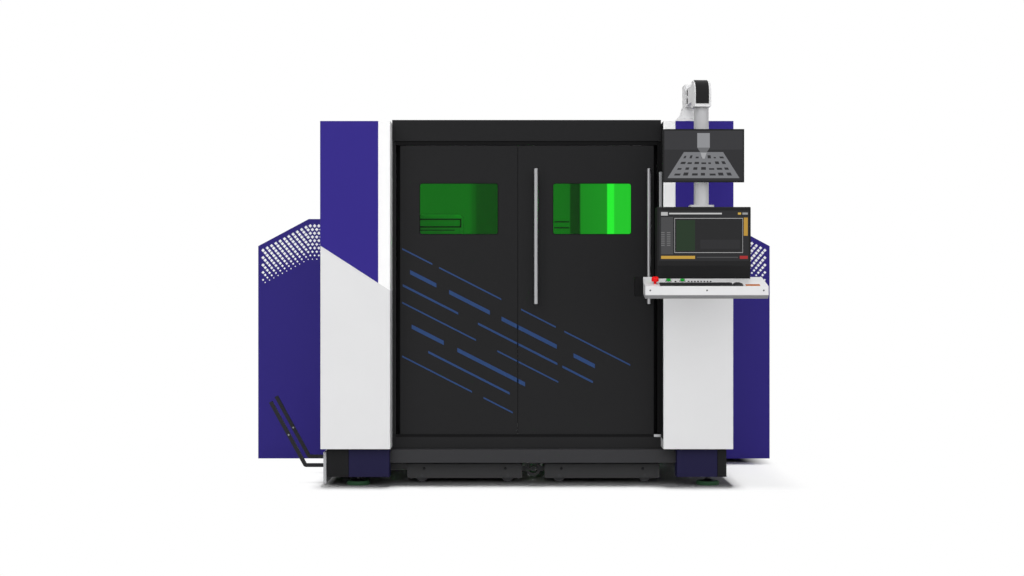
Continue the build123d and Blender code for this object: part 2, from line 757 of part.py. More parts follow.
# Equipment cabinets: folded housings along the cabin's sides, their tops sloping down outwards, with a
# recess in the outer side for the door and the louvred panel
cabinet_y = front_y + cabinet_setback
cabinet_depth = rear_y - cabinet_back_gap - cabinet_y
cabinet_slope = cabinet_right_width * cabinet_slope_share
cabinet_door_y = cabinet_y + cabinet_door_inset
cabinet_door_width = (cabinet_depth - 3 * cabinet_door_inset) / 2
cabinet_door_height = cabinet_eave - cabinet_door_head - cabinet_door_z
cabinet_louvre_length = cabinet_door_width - 2 * cabinet_louvre_inset
for name, inner, side in (("cabinet_left", cabin_left, -1), ("cabinet_right", cabin_right, 1)):
    outer = side * cabinet_span / 2
    seat = outer - side * cabinet_door_depth
    with BuildPart() as cabinet:
        with BuildSketch(front_plane(cabinet_y)) as outline:
            with BuildLine():
                Polyline(
                    (inner, cabinet_bottom),
                    (outer, cabinet_bottom),
                    (outer, cabinet_eave),
                    (side * (cabinet_span / 2 - cabinet_slope), cabinet_top),
                    (inner, cabinet_top),
                    close=True,
                )
            make_face()
        extrude(amount=-cabinet_depth)
        with BuildSketch(front_plane(cabinet_y + sheet)):
            with BuildLine():
                Polyline(
                    (inner - side * overrun, cabinet_bottom + sheet),
                    (seat - side * sheet, cabinet_bottom + sheet),
                    (seat - side * sheet, cabinet_eave - sheet),
                    (side * (cabinet_span / 2 - cabinet_slope), cabinet_top - sheet),
                    (inner - side * overrun, cabinet_top - sheet),
                    close=True,
                )
            make_face()
        extrude(amount=-(cabinet_depth - 2 * sheet), mode=Mode.SUBTRACT)
        for skid_y in (cabinet_y + skid_setback, cabinet_y + cabinet_depth - skid_setback - cabinet_skid):
            block(sorted((inner, seat)), (skid_y, skid_y + cabinet_skid), (0, cabinet_bottom))
        panel_front = cabinet_door_y + cabinet_door_width + cabinet_door_inset
        panel_back = cabinet_y + cabinet_depth - cabinet_door_inset
        door_ends_z = (cabinet_door_z, cabinet_door_z + cabinet_door_height)
        block(
            sorted((seat, outer + side * overrun)),
            (cabinet_door_y - seam, panel_back + seam),
            (door_ends_z[0] - cabinet_ear - seam, door_ends_z[1] + cabinet_ear + seam),
            mode=Mode.SUBTRACT,
        )
        block(sorted((seat, outer)), (panel_front, panel_back), door_ends_z)
        with BuildSketch(side_plane(outer + side * overrun)):
            louvre_y = (panel_front + panel_back) / 2
            with Locations((louvre_y, cabinet_door_z + cabinet_door_height / 2)):
                with GridLocations(0, louvre_pitch * 2, 1, cabinet_louvre_count):
                    SlotOverall(cabinet_louvre_length, louvre_height)
        extrude(amount=-side * (cabinet_door_depth / 2 + overrun), mode=Mode.SUBTRACT)
        if side < 0:
            lap = cabinet_opening_lap
            block(
                (seat - overrun, seat + 2 * sheet),
                (cabinet_door_y + lap, cabinet_door_y + cabinet_door_width - lap),
                (cabinet_door_z + lap, cabinet_door_z + cabinet_door_height - lap),
                mode=Mode.SUBTRACT,
            )
            ear_y = (cabinet_door_y, cabinet_door_y + cabinet_door_depth - cabinet_door_gap)
            pin_place = (seat - (cabinet_door_depth + cabinet_door_gap) / 2, (ear_y[0] + ear_y[1]) / 2)
            for hinge_z, way in zip(door_ends_z, (-1, 1)):
                ear_z = sorted((hinge_z, hinge_z + way * cabinet_ear))
                block((outer, seat), ear_y, ear_z)
                with Locations((*pin_place, hinge_z)):
                    Cylinder(cabinet_pin_radius, 2 * cabinet_ear)
        else:
            block((seat, outer), (cabinet_door_y, cabinet_door_y + cabinet_door_width), door_ends_z)
    cabinet.part.label = name
    export_step(cabinet.part, f"parts/{name}.step")

# Cabinet door: hinged at its front edge, which is rounded about the hinge pin, with a recessed pull
door_outer = -cabinet_span / 2
door_inner = door_outer + cabinet_door_depth - cabinet_door_gap
door_pin_x = (door_outer + door_inner) / 2
door_pin_y = cabinet_door_y + (door_inner - door_outer) / 2
with BuildPart() as cabinet_door:
    block(
        (door_outer, door_inner),
        (cabinet_door_y, cabinet_door_y + cabinet_door_width),
        (cabinet_door_z + slide_gap, cabinet_door_z + cabinet_door_height - slide_gap),
    )
    fillet(
        cabinet_door.edges().filter_by(Axis.Z).group_by(Axis.Y)[0],
        (door_inner - door_outer) / 2 - pin_gap,
    )
    with Locations((door_pin_x, door_pin_y, cabinet_door_z + cabinet_door_height / 2)):
        Cylinder(cabinet_pin_radius + pin_gap, 2 * cabinet_door_height, mode=Mode.SUBTRACT)
    pull_y = cabinet_door_y + cabinet_door_width - cabinet_pull_inset
    with BuildSketch(side_plane(door_outer)):
        with Locations((pull_y, cabinet_door_z + cabinet_door_height / 2)):
            SlotOverall(cabinet_pull_length, cabinet_pull_width, rotation=90)
    extrude(amount=cabinet_pull_depth, mode=Mode.SUBTRACT)
cabinet_door.part.label = "cabinet_door"
export_step(cabinet_door.part, "parts/cabinet_door.step")

# Control plate: mounting plate in the left cabinet with rows of drives and terminals
plate_y = cabinet_door_y + cabinet_door_width / 2
plate_z = cabinet_door_z + cabinet_door_height / 2
with BuildPart() as control_plate:
    with BuildSketch(side_plane(cabin_left)):
        with Locations((plate_y, plate_z)):
            Rectangle(cabinet_door_width - 2 * cabinet_skid, cabinet_door_height - 2 * cabinet_skid)
    extrude(amount=-plate_depth)
    module_width = (cabinet_door_width - 2 * cabinet_skid) / module_columns
    module_height = (cabinet_door_height - 2 * cabinet_skid) / module_rows
    with BuildSketch(side_plane(cabin_left - plate_depth)):
        with Locations((plate_y, plate_z)):
            with GridLocations(module_width, module_height, module_columns, module_rows):
                Rectangle(module_width * module_fill_share, module_height * module_fill_share)
    extrude(amount=-module_depth)
control_plate.part.label = "control_plate"
export_step(control_plate.part, "parts/control_plate.step")

# Laser source: a finned housing on the floor of the right cabinet
with BuildPart() as laser_source:
    source_length = cabinet_depth * source_length_share
    source_x = (cabin_right, cabinet_span / 2 - cabinet_door_depth - source_gap)
    source_y = (cabinet_y + 2 * cabinet_skid, cabinet_y + 2 * cabinet_skid + source_length)
    source_bottom = cabinet_bottom + sheet
    block(source_x, source_y, (source_bottom, source_bottom + source_height))
    for index in range(fin_count):
        fin_y = source_y[0] + source_length * (index + 1) / (fin_count + 1)
        block(
            (source_x[0] - overrun, source_x[1] + overrun),
            (fin_y - seam, fin_y + seam),
            (source_bottom + source_height - fin_depth, source_bottom + source_height + overrun),
            mode=Mode.SUBTRACT,
        )
laser_source.part.label = "laser_source"
export_step(laser_source.part, "parts/laser_source.step")

# Rail beams: welded walls of the bed that carry the gantry's rails, pocketed on their inner faces
rail_front_y = front_y + rail_beam_front
rail_beam_length = cabin_depth - rail_beam_front - rail_beam_back
rail_faces = (bed_left - rail_beam_inset, bed_right + rail_beam_inset)
with BuildPart() as rail_beams:
    for face, side in zip(rail_faces, (-1, 1)):
        block(
            sorted((face, face + side * rail_beam_width)),
            (rail_front_y, rail_front_y + rail_beam_length),
            (cabin_bottom, rail_beam_top),
        )
        with BuildSketch(side_plane(face)):
            middle_z = (cabin_bottom + slat_top - slat_height - rack_height) / 2
            with Locations((rail_front_y + rail_beam_length / 2, middle_z)):
                with GridLocations(rail_beam_length / pocket_count, 0, pocket_count, 1):
                    RectangleRounded(pocket_width, pocket_height, pocket_radius)
        extrude(amount=side * pocket_depth, mode=Mode.SUBTRACT)
rail_beams.part.label = "rail_beams"
export_step(rail_beams.part, "parts/rail_beams.step")

# Linear rails on top of the rail beams
rail_xs = [face + side * rail_beam_width / 2 for face, side in zip(rail_faces, (-1, 1))]
rail_top = rail_beam_top + rail_size
with BuildPart() as linear_rails:
    with BuildSketch(front_plane(rail_front_y)):
        with Locations(*[(x, rail_beam_top + rail_size / 2) for x in rail_xs]):
            Rectangle(rail_size, rail_size)
    extrude(amount=-rail_beam_length)
linear_rails.part.label = "linear_rails"
export_step(linear_rails.part, "parts/linear_rails.step")

# Table racks: notched bars on the rail beams that hold the slats
rack_top = slat_top - slat_height + notch_depth
rack_ends = (front_y + column_depth + rack_gap, rail_front_y + rail_beam_length - rack_back)
slat_pitch = (rack_ends[1] - rack_ends[0]) / slat_count
slat_ys = [rack_ends[0] + slat_pitch * (index + 1 / 2) for index in range(slat_count)]
with BuildPart() as table_racks:
    for face, side in zip(rail_faces, (1, -1)):
        block(sorted((face, face + side * rack_width)), rack_ends, (rack_top - rack_height, rack_top))
        with BuildSketch(side_plane(face - side * overrun)):
            with Locations(*[(y, rack_top) for y in slat_ys]):
                Rectangle(slat_thick + 2 * slide_gap, 2 * notch_depth)
        extrude(amount=side * (rack_width + 2 * overrun), mode=Mode.SUBTRACT)
table_racks.part.label = "table_racks"
export_step(table_racks.part, "parts/table_racks.step")

# Table slats: toothed strips across the bed, standing in the notches
slat_ends = (rail_faces[0] + slide_gap, rail_faces[1] - slide_gap)
tooth = (slat_ends[1] - slat_ends[0]) / slat_teeth
with BuildPart() as table_slats:
    for y in slat_ys:
        with BuildSketch(front_plane(y - slat_thick / 2)):
            with BuildLine():
                Polyline(
                    (slat_ends[0], slat_top - slat_height),
                    (slat_ends[1], slat_top - slat_height),
                    *[
                        (slat_ends[1] - tooth * index / 2, slat_top - tooth_depth * ((index + 1) % 2))
                        for index in range(2 * slat_teeth + 1)
                    ],
                    close=True,
                )
            make_face()
        extrude(amount=-slat_thick)
table_slats.part.label = "table_slats"
export_step(table_slats.part, "parts/table_slats.step")

# Gantry: a box beam across the bed on two trucks, with guide bars on its front
gantry_y = front_y + gantry_setback
gantry_ends = (rail_xs[0] - gantry_overhang, rail_xs[1] + gantry_overhang)
with BuildPart() as gantry_beam:
    with BuildSketch(side_plane(gantry_ends[0])):
        with Locations((gantry_y + gantry_depth / 2, (gantry_bottom + gantry_top) / 2)):
            Rectangle(gantry_depth, gantry_top - gantry_bottom)
            Rectangle(
                gantry_depth - 2 * gantry_wall,
                gantry_top - gantry_bottom - 2 * gantry_wall,
                mode=Mode.SUBTRACT,
            )
        for guide_z in (gantry_bottom + guide_inset, gantry_top - guide_inset):
            with Locations((gantry_y - guide_size / 2, guide_z)):
                Rectangle(guide_size, guide_size)
    extrude(amount=gantry_ends[1] - gantry_ends[0])
    for x in rail_xs:
        block(
            (x - truck_width / 2, x + truck_width / 2),
            (gantry_y + (gantry_depth - truck_length) / 2, gantry_y + (gantry_depth + truck_length) / 2),
            (rail_top + slide_gap, gantry_bottom),
        )
gantry_beam.part.label = "gantry_beam"
export_step(gantry_beam.part, "parts/gantry_beam.step")

# Cross carriage: the tall cover that runs along the gantry, with a square shaft for the head's ram
carriage_x = bay_left + carriage_inset + carriage_width / 2
carriage_back = gantry_y - guide_size - slide_gap
carriage_y = carriage_back - carriage_depth / 2
with BuildPart() as cross_carriage:
    with BuildSketch(Plane.XY.offset(carriage_bottom)) as carriage_plan:
        with Locations((carriage_x, carriage_y)):
            Rectangle(carriage_width, carriage_depth)
        fillet(carriage_plan.vertices().group_by(Axis.Y)[0], carriage_edge)
        with Locations((carriage_x, carriage_y)):
            Rectangle(ram_size + 2 * slide_gap, ram_size + 2 * slide_gap, mode=Mode.SUBTRACT)
    extrude(amount=ram_pocket_top - carriage_bottom)
    with BuildSketch(Plane.XY.offset(ram_pocket_top)) as carriage_cap:
        with Locations((carriage_x, carriage_y)):
            Rectangle(carriage_width, carriage_depth)
        fillet(carriage_cap.vertices().group_by(Axis.Y)[0], carriage_edge)
    extrude(amount=carriage_top - ram_pocket_top)
    chamfer(cross_carriage.faces().sort_by(Axis.Z)[-1].edges().group_by(Axis.Y)[0], carriage_edge)
cross_carriage.part.label = "cross_carriage"
export_step(cross_carriage.part, "parts/cross_carriage.step")

# Cutting head: square ram, round head and tapered nozzle
with BuildPart() as cutting_head:
    block(
        (carriage_x - ram_size / 2, carriage_x + ram_size / 2),
        (carriage_y - ram_size / 2, carriage_y + ram_size / 2),
        (ram_bottom, ram_top),
    )
    with Locations((carriage_x, carriage_y, ram_bottom)):
        Cylinder(head_radius, head_height, align=(Align.CENTER, Align.CENTER, Align.MAX))
    with Locations((carriage_x, carriage_y, ram_bottom - head_height)):
        Cone(
            nozzle_tip_radius,
            head_radius * nozzle_root_share,
            nozzle_height,
            align=(Align.CENTER, Align.CENTER, Align.MAX),
        )
cutting_head.part.label = "cutting_head"
export_step(cutting_head.part, "parts/cutting_head.step")

# Scrap carts: a tub between a front and a back plate, with holes for the two axles
cart_y = front_y + cart_setback
cart_middle = bed_x + cart_shift
cart_width = (bed_width - 2 * cart_side_gap - cart_gap) / 2
cart_pitch = cart_width + cart_gap
cart_top = beam_bottom - cart_drop
cart_xs = (cart_middle - cart_pitch / 2, cart_middle + cart_pitch / 2)
axle_z = wheel_radius + slide_gap
cart_plate = 2 * sheet
axle_offsets = (wheel_side - cart_width / 2, cart_width / 2 - wheel_side)
for name, x in zip(("cart_left", "cart_right"), cart_xs):
    x_ends = (x - cart_width / 2, x + cart_width / 2)
    with BuildPart() as cart:
        block(x_ends, (cart_y + tub_inset, cart_y + cart_depth - tub_inset), (tub_bottom, cart_top))
        for plate_start in (cart_y, cart_y + cart_depth - cart_plate):
            with BuildSketch(front_plane(plate_start)):
                with Locations((x, (cart_bottom - cart_lip + cart_top) / 2)):
                    RectangleRounded(cart_width, cart_top - cart_bottom + cart_lip, cart_corner)
            extrude(amount=-cart_plate)
        wall_ends = (cart_y + cart_plate, cart_y + cart_depth - cart_plate)
        for end in (x_ends[0], x_ends[1] - cart_plate):
            block((end, end + cart_plate), wall_ends, (tub_bottom, cart_top - cart_corner / 2))
        block(
            (x_ends[0] + cart_plate, x_ends[1] - cart_plate),
            (cart_y + tub_inset + sheet, cart_y + cart_depth - tub_inset - sheet),
            (tub_bottom + sheet, cart_top + overrun),
            mode=Mode.SUBTRACT,
        )
        with BuildSketch(front_plane(cart_y - overrun)):
            with Locations(*[(x + offset_x, axle_z) for offset_x in axle_offsets]):
                Circle(axle_radius + pin_gap)
        extrude(amount=-(cart_depth + 2 * overrun), mode=Mode.SUBTRACT)
    cart.part.label = name
    export_step(cart.part, f"parts/{name}.step")

# Wheel sets: an axle with a wheel near each end, two to a cart
wheel_names = ("wheels_1", "wheels_2", "wheels_3", "wheels_4")
wheel_xs = [x + offset_x for x in cart_xs for offset_x in axle_offsets]
for name, x in zip(wheel_names, wheel_xs):
    with BuildPart() as wheel_set:
        with BuildSketch(front_plane(cart_y)):
            with Locations((x, axle_z)):
                Circle(axle_radius)
        extrude(amount=-cart_depth)
        for wheel_y in (cart_y + wheel_inset, cart_y + cart_depth - wheel_inset - wheel_width):
            with BuildSketch(front_plane(wheel_y)):
                with Locations((x, axle_z)):
                    Circle(wheel_radius)
            extrude(amount=-wheel_width)
        chamfer(
            wheel_set.edges().filter_by(GeomType.CIRCLE).filter_by(lambda e: e.radius > axle_radius),
            wheel_chamfer,
        )
    wheel_set.part.label = name
    export_step(wheel_set.part, f"parts/{name}.step")

# Hitch: a ring plate with a square pin that couples the two carts
hitch_y = cart_y + tub_inset
hitch_ends = (cart_xs[0] + cart_width / 2, cart_xs[1] - cart_width / 2)
hitch_x = (hitch_ends[0] + hitch_ends[1]) / 2
hitch_z = cart_top - hitch_drop
with BuildPart() as train_hitch:
    with BuildSketch(front_plane(hitch_y)):
        with Locations((hitch_x, hitch_z)):
            Circle(hitch_radius)
            Rectangle(hitch_ends[1] - hitch_ends[0], hitch_square)
            Circle(hitch_hole_radius, mode=Mode.SUBTRACT)
            Rectangle(hitch_square, hitch_square)
            Rectangle(hitch_hole_radius * 2, hitch_square * hitch_web_share)
    extrude(amount=-cart_plate * 2)
train_hitch.part.label = "train_hitch"
export_step(train_hitch.part, "parts/train_hitch.step")

# Pull frame: the end plate of the carts and the bars that join it to the left cart
plate_x = (cabin_left + plate_inset, cabin_left + plate_inset + plate_thick)
with BuildPart() as pull_frame:
    block(plate_x, (front_y + plate_front, front_y + plate_front + plate_length), (plate_bottom, plate_top))
    for bar_y in (cart_y + tub_inset, cart_y + cart_depth - tub_inset - draw_bar):
        block(
            (plate_x[1], cart_xs[0] - cart_width / 2),
            (bar_y, bar_y + draw_bar),
            (draw_bar_z, draw_bar_z + draw_bar),
        )
pull_frame.part.label = "pull_frame"
export_step(pull_frame.part, "parts/pull_frame.step")

# Pull arms: bent square bars that stand out from the end plate and rise
with BuildPart() as pull_arms:
    for setback, reach in zip(arm_fronts, arm_reaches):
        arm_plane = front_plane(front_y + setback)
        with BuildLine(arm_plane) as arm_path:
            FilletPolyline(
                (plate_x[0], arm_z),
                (plate_x[0] - reach, arm_z),
                (plate_x[0] - reach - arm_spread, arm_z + arm_rise),
                radius=arm_bend,
            )
        with BuildSketch(Plane(origin=arm_path.line @ 0, x_dir=(0, 1, 0), z_dir=arm_path.line % 0)):
            Rectangle(arm_size, arm_size)
        sweep(path=arm_path.wires()[0])
pull_arms.part.label = "pull_arms"
export_step(pull_arms.part, "parts/pull_arms.step")

# Arm base: a flanged dome on the right column with the pin that the arm turns on
swivel_x = cabin_right - arm_side
joint_top = cabin_top + joint_height
swivel_y = front_y + arm_setback
base_top = cabin_top + base_height
with BuildPart() as arm_base:
    with BuildSketch(Plane(origin=(swivel_x, swivel_y, cabin_top), x_dir=(1, 0, 0), z_dir=(0, -1, 0))):
        with BuildLine():
            pin_end = base_height + swivel_depth
            Polyline(
                (base_neck, base_height),
                (swivel_pin, base_height),
                (swivel_pin, pin_end),
                (0, pin_end),
                (0, 0),
                (base_radius, 0),
                (base_radius, base_flange),
            )
            RadiusArc((base_radius, base_flange), (base_neck, base_height), base_radius)
        make_face()
    revolve(axis=Axis((swivel_x, swivel_y, 0), (0, 0, 1)))
arm_base.part.label = "arm_base"
export_step(arm_base.part, "parts/arm_base.step")

# Swing arm: joint housing, level tube and elbow in one casting
turn = radians(swing_turn)
drop_x = swivel_x + swing_length * sin(turn)
drop_y = swivel_y - swing_length * cos(turn)
elbow_top = joint_top - elbow_step
elbow_bottom = elbow_top - elbow_drop


def arm_level(z):
    """Level plane at height z with its origin on the swivel and its Y axis back along the arm."""
    return Plane(origin=(swivel_x, swivel_y, z), x_dir=(cos(turn), sin(turn), 0), z_dir=(0, 0, 1))


arm_across = (cos(turn), sin(turn), 0)
arm_side_plane = Plane(origin=(swivel_x, swivel_y, 0), x_dir=(-sin(turn), cos(turn), 0), z_dir=arm_across)
elbow_front = -swing_length - elbow_depth / 2
elbow_rear = -swing_length + elbow_depth / 2
bend_x = elbow_front + elbow_bend
bend_z = elbow_top - elbow_bend


def bend_point(radius, angle):
    """Point round the elbow's bend, at an angle from straight ahead, in the arm's upright plane."""
    return (bend_x - radius * cos(radians(angle)), bend_z + radius * sin(radians(angle)))


with BuildPart() as swing_arm:
    with BuildSketch(arm_level(base_top + slide_gap)):
        RectangleRounded(joint_width, joint_depth, elbow_edge)
    extrude(amount=joint_top - base_top - slide_gap)
    with BuildSketch(arm_side_plane):
        with BuildLine():
            Polyline(
                (bend_x, elbow_top),
                (elbow_rear, elbow_top),
                (elbow_rear, elbow_bottom),
                (elbow_front, elbow_bottom),
                (elbow_front, bend_z),
            )
            ThreePointArc((elbow_front, bend_z), bend_point(elbow_bend, 45), (bend_x, elbow_top))
        make_face()
    extrude(amount=elbow_width / 2, both=True)
    for cheek in (0, -1):
        cheek_face = swing_arm.faces().sort_by(Axis((0, 0, 0), arm_across))[cheek]
        fillet(cheek_face.edges(), elbow_rim)
    fillet(swing_arm.faces().filter_by(Axis.Z).group_by(Axis.Z)[-1].edges(), arm_edge)
    with BuildSketch(arm_level(joint_top - arm_tube_drop - arm_tube_height)):
        with Locations((0, -swing_length / 2)):
            Rectangle(arm_tube_width, swing_length)
    extrude(amount=arm_tube_height)
    slot_step = (arm_slot_height + arm_slot_gap) / 2
    slot_middle = joint_top - arm_tube_drop - arm_tube_height / 2 - arm_slot_height / 2
    for slot_z in (slot_middle - slot_step, slot_middle + slot_step):
        with BuildSketch(arm_level(slot_z)):
            for side in (-1, 1):
                with Locations((side * arm_tube_width / 2, -arm_slot_reach)):
                    Rectangle(2 * arm_slot_depth, arm_slot_length)
        extrude(amount=arm_slot_height, mode=Mode.SUBTRACT)
    with BuildSketch(arm_level(base_top)):
        Circle(swivel_pin + bush_gap)
    extrude(amount=swivel_depth + slide_gap, mode=Mode.SUBTRACT)
    with BuildSketch(arm_level(elbow_bottom)):
        with Locations((0, -swing_length)):
            Circle(swivel_pin + bush_gap)
    extrude(amount=swivel_depth, mode=Mode.SUBTRACT)
swing_arm.part.label = "swing_arm"
export_step(swing_arm.part, "parts/swing_arm.step")

# Elbow cover: a dark strip that follows the front of the elbow round its bend
cover_bottom = elbow_top - cover_drop - cover_height
cover_stop = 90 - cover_end
with BuildPart() as elbow_cover:
    with BuildSketch(arm_side_plane.offset(-cover_shift)):
        with BuildLine():
            Polyline(
                (elbow_front, bend_z),
                (elbow_front, cover_bottom),
                (elbow_front - cover_depth, cover_bottom),
                (elbow_front - cover_depth, bend_z),
            )
            ThreePointArc(
                (elbow_front - cover_depth, bend_z),
                bend_point(elbow_bend + cover_depth, cover_stop / 2),
                bend_point(elbow_bend + cover_depth, cover_stop),
            )
            Line(bend_point(elbow_bend + cover_depth, cover_stop), bend_point(elbow_bend, cover_stop))
            ThreePointArc(
                bend_point(elbow_bend, cover_stop),
                bend_point(elbow_bend, cover_stop / 2),
                (elbow_front, bend_z),
            )
        make_face()
    extrude(amount=cover_width / 2, both=True)
elbow_cover.part.label = "elbow_cover"
export_step(elbow_cover.part, "parts/elbow_cover.step")

# Drop tube: hangs from the elbow on a pin and carries the monitor bracket and the console's flange
console_top = cabin_top - console_drop
console_bottom = console_top - console_height
monitor_z = console_top + (elbow_bottom - console_top) * monitor_height_share
with BuildPart() as drop_tube:
    tube_bottom = console_top + tube_flange_height
    with BuildSketch(Plane.XY.offset(tube_bottom)):
        with Locations((drop_x, drop_y)):
            Circle(tube_radius)
    extrude(amount=elbow_bottom - slide_gap - tube_bottom)
    with BuildSketch(Plane.XY.offset(elbow_bottom - slide_gap)):
        with Locations((drop_x, drop_y)):
            Circle(swivel_pin)
    extrude(amount=swivel_depth)
    with BuildSketch(Plane.XY.offset(console_top)):
        with Locations((drop_x, drop_y)):
            RectangleRounded(tube_flange_width, tube_flange_depth, elbow_edge)
    extrude(amount=tube_flange_height)
    block(
        (drop_x - bracket_size / 2, drop_x + bracket_size / 2),
        (drop_y - tube_radius - bracket_depth, drop_y - tube_radius),
        (monitor_z - bracket_size / 2, monitor_z + bracket_size / 2),
    )
    block(
        (drop_x - tube_radius / 2, drop_x + tube_radius / 2),
        (drop_y - tube_radius - bracket_depth, drop_y),
        (monitor_z - bracket_size / 2, monitor_z + bracket_size / 2),
    )
drop_tube.part.label = "drop_tube"
export_step(drop_tube.part, "parts/drop_tube.step")

# Upper monitor: a flat housing on the bracket, with a recess for its glass
monitor_back = drop_y - tube_radius - bracket_depth
monitor_front = monitor_back - monitor_depth
with BuildPart() as upper_monitor:
    with BuildSketch(front_plane(monitor_front)):
        with Locations((drop_x, monitor_z)):
            Rectangle(monitor_width, monitor_height)
    extrude(amount=-monitor_depth)
    chamfer(upper_monitor.faces().sort_by(Axis.Y)[-1].edges(), monitor_edge)
    with BuildSketch(front_plane(monitor_front)):
        with Locations((drop_x, monitor_z)):
            Rectangle(monitor_width - 2 * monitor_margin, monitor_height - 2 * monitor_margin)
    extrude(amount=-glass_depth, mode=Mode.SUBTRACT)
upper_monitor.part.label = "upper_monitor"
export_step(upper_monitor.part, "parts/upper_monitor.step")

# Console housing: a deep case whose chin leans back below the screen
console_x = drop_x + console_shift
console_y = drop_y - console_front
screen_z = console_top - screen_margin - screen_height / 2
with BuildPart() as console_housing:
    with BuildSketch(side_plane(console_x - console_width / 2)) as console_side:
        with BuildLine():
            Polyline(
                (console_y, console_top),
                (console_y, console_bottom + console_chin),
                (console_y + console_chin_lean, console_bottom),
                (drop_y + console_back, console_bottom),
                (drop_y + console_back, console_top),
                close=True,
            )
        make_face()
        fillet(console_side.vertices().group_by(Axis.Y)[-1], console_edge)
    extrude(amount=console_width)
    with BuildSketch(front_plane(console_y)):
        with Locations((console_x, screen_z)):
            Rectangle(console_width - 2 * screen_side, screen_height)
    extrude(amount=-glass_depth, mode=Mode.SUBTRACT)
console_housing.part.label = "console_housing"
export_step(console_housing.part, "parts/console_housing.step")

# Display glass: the two screens, set flush in their housings
with BuildPart() as display_glass:
    with BuildSketch(front_plane(monitor_front)):
        with Locations((drop_x, monitor_z)):
            Rectangle(monitor_width - 2 * monitor_margin, monitor_height - 2 * monitor_margin)
    extrude(amount=-glass_depth)
    with BuildSketch(front_plane(console_y)):
        with Locations((console_x, screen_z)):
            Rectangle(console_width - 2 * screen_side, screen_height)
    extrude(amount=-glass_depth)
display_glass.part.label = "display_glass"
export_step(display_glass.part, "parts/display_glass.step")

# Control tray: a wedge below the console that slopes down to its front
tray_y = front_y - front_reach
slope_run = console_y - tray_y
tray_front_top = console_bottom - tray_fall
slope = atan2(tray_fall, slope_run)
tray_top = console_bottom + tray_fall * tray_run_on / slope_run
pocket_left = keyboard_x + keyboard_width / 2
pocket_right = mouse_x + mouse_width / 2 + slide_gap
slope_up = (0, -sin(slope), cos(slope))
slope_plane = Plane(origin=(drop_x, tray_y, tray_front_top), x_dir=(1, 0, 0), z_dir=slope_up)
slope_axis = Axis((0, 0, 0), slope_up)
with BuildPart() as control_tray:
    with BuildSketch(side_plane(drop_x - tray_width / 2)):
        with BuildLine():
            Polyline(
                (drop_y + tray_back, tray_top),
                (console_y + tray_run_on, tray_top),
                (tray_y, tray_front_top),
                (tray_y, tray_front_top - tray_front_height),
                (tray_y + tray_bevel, tray_front_top - tray_front_height - tray_bevel),
                (drop_y + tray_back, console_bottom - tray_front_height),
                close=True,
            )
        make_face()
    extrude(amount=tray_width)
    with BuildSketch(slope_plane):
        with Locations((keyboard_x, keyboard_front + keyboard_depth / 2)):
            Rectangle(keyboard_width + 2 * slide_gap, keyboard_depth + 2 * slide_gap)
        with Locations(((pocket_left + pocket_right) / 2, keyboard_front + keyboard_depth / 2)):
            Rectangle(pocket_right - pocket_left, keyboard_depth + 2 * slide_gap)
    extrude(amount=-key_recess, mode=Mode.SUBTRACT)
    block(
        (console_x - console_width / 2 - slide_gap, console_x + console_width / 2 + slide_gap),
        (console_y, drop_y + tray_back + overrun),
        (console_bottom, tray_top + overrun),
        mode=Mode.SUBTRACT,
    )
    with BuildSketch(slope_plane):
        with Locations((estop_x, estop_row), *[(x, button_row) for x in button_xs]):
            Circle(stem_radius + pin_gap)
    extrude(amount=-stem_hole_depth, mode=Mode.SUBTRACT)
control_tray.part.label = "control_tray"
export_step(control_tray.part, "parts/control_tray.step")

# Keyboard: set into the tray, with rows of keys
with BuildPart() as keyboard:
    with BuildSketch(slope_plane.offset(-key_recess)):
        with Locations((keyboard_x, keyboard_front + keyboard_depth / 2)):
            RectangleRounded(keyboard_width, keyboard_depth, key_recess)
    extrude(amount=keyboard_height)
    key_pitch_x = (keyboard_width - 2 * key_recess) / key_columns
    key_pitch_y = (keyboard_depth - 2 * key_recess) / key_rows
    with BuildSketch(slope_plane.offset(keyboard_height - key_recess)):
        with Locations((keyboard_x, keyboard_front + keyboard_depth / 2)):
            with GridLocations(key_pitch_x, key_pitch_y, key_columns, key_rows):
                Rectangle(key_pitch_x * key_fill_share, key_pitch_y * key_fill_share)
    extrude(amount=key_height)
keyboard.part.label = "keyboard"
export_step(keyboard.part, "parts/keyboard.step")

# Mouse: a domed body that lies beside the keyboard in the tray's recess
with BuildPart() as mouse:
    with BuildSketch(slope_plane.offset(-key_recess)):
        with Locations((mouse_x, keyboard_front + mouse_length / 2)):
            Ellipse(mouse_width / 2, mouse_length / 2)
    extrude(amount=mouse_height)
    fillet(mouse.faces().sort_by(slope_axis)[-1].edges(), mouse_height / 2)
mouse.part.label = "mouse"
export_step(mouse.part, "parts/mouse.step")

# Stop button: a mushroom head on a stem in the tray
with BuildPart() as stop_button:
    with BuildSketch(slope_plane.offset(-stem_depth)):
        with Locations((estop_x, estop_row)):
            Circle(stem_radius)
    extrude(amount=stem_depth + estop_lift)
    with BuildSketch(slope_plane.offset(estop_lift)):
        with Locations((estop_x, estop_row)):
            Circle(estop_radius)
    extrude(amount=estop_height)
    fillet(stop_button.faces().sort_by(slope_axis)[-1].edges(), estop_edge)
stop_button.part.label = "stop_button"
export_step(stop_button.part, "parts/stop_button.step")

# Push buttons: the start and pause buttons beside it
for name, x in zip(("start_button", "pause_button"), button_xs):
    with BuildPart() as push_button:
        with BuildSketch(slope_plane.offset(-stem_depth)):
            with Locations((x, button_row)):
                Circle(stem_radius)
        extrude(amount=stem_depth + button_lift)
        with BuildSketch(slope_plane.offset(button_lift)):
            with Locations((x, button_row)):
                Circle(button_radius)
        extrude(amount=button_height)
    push_button.part.label = name
    export_step(push_button.part, f"parts/{name}.step")
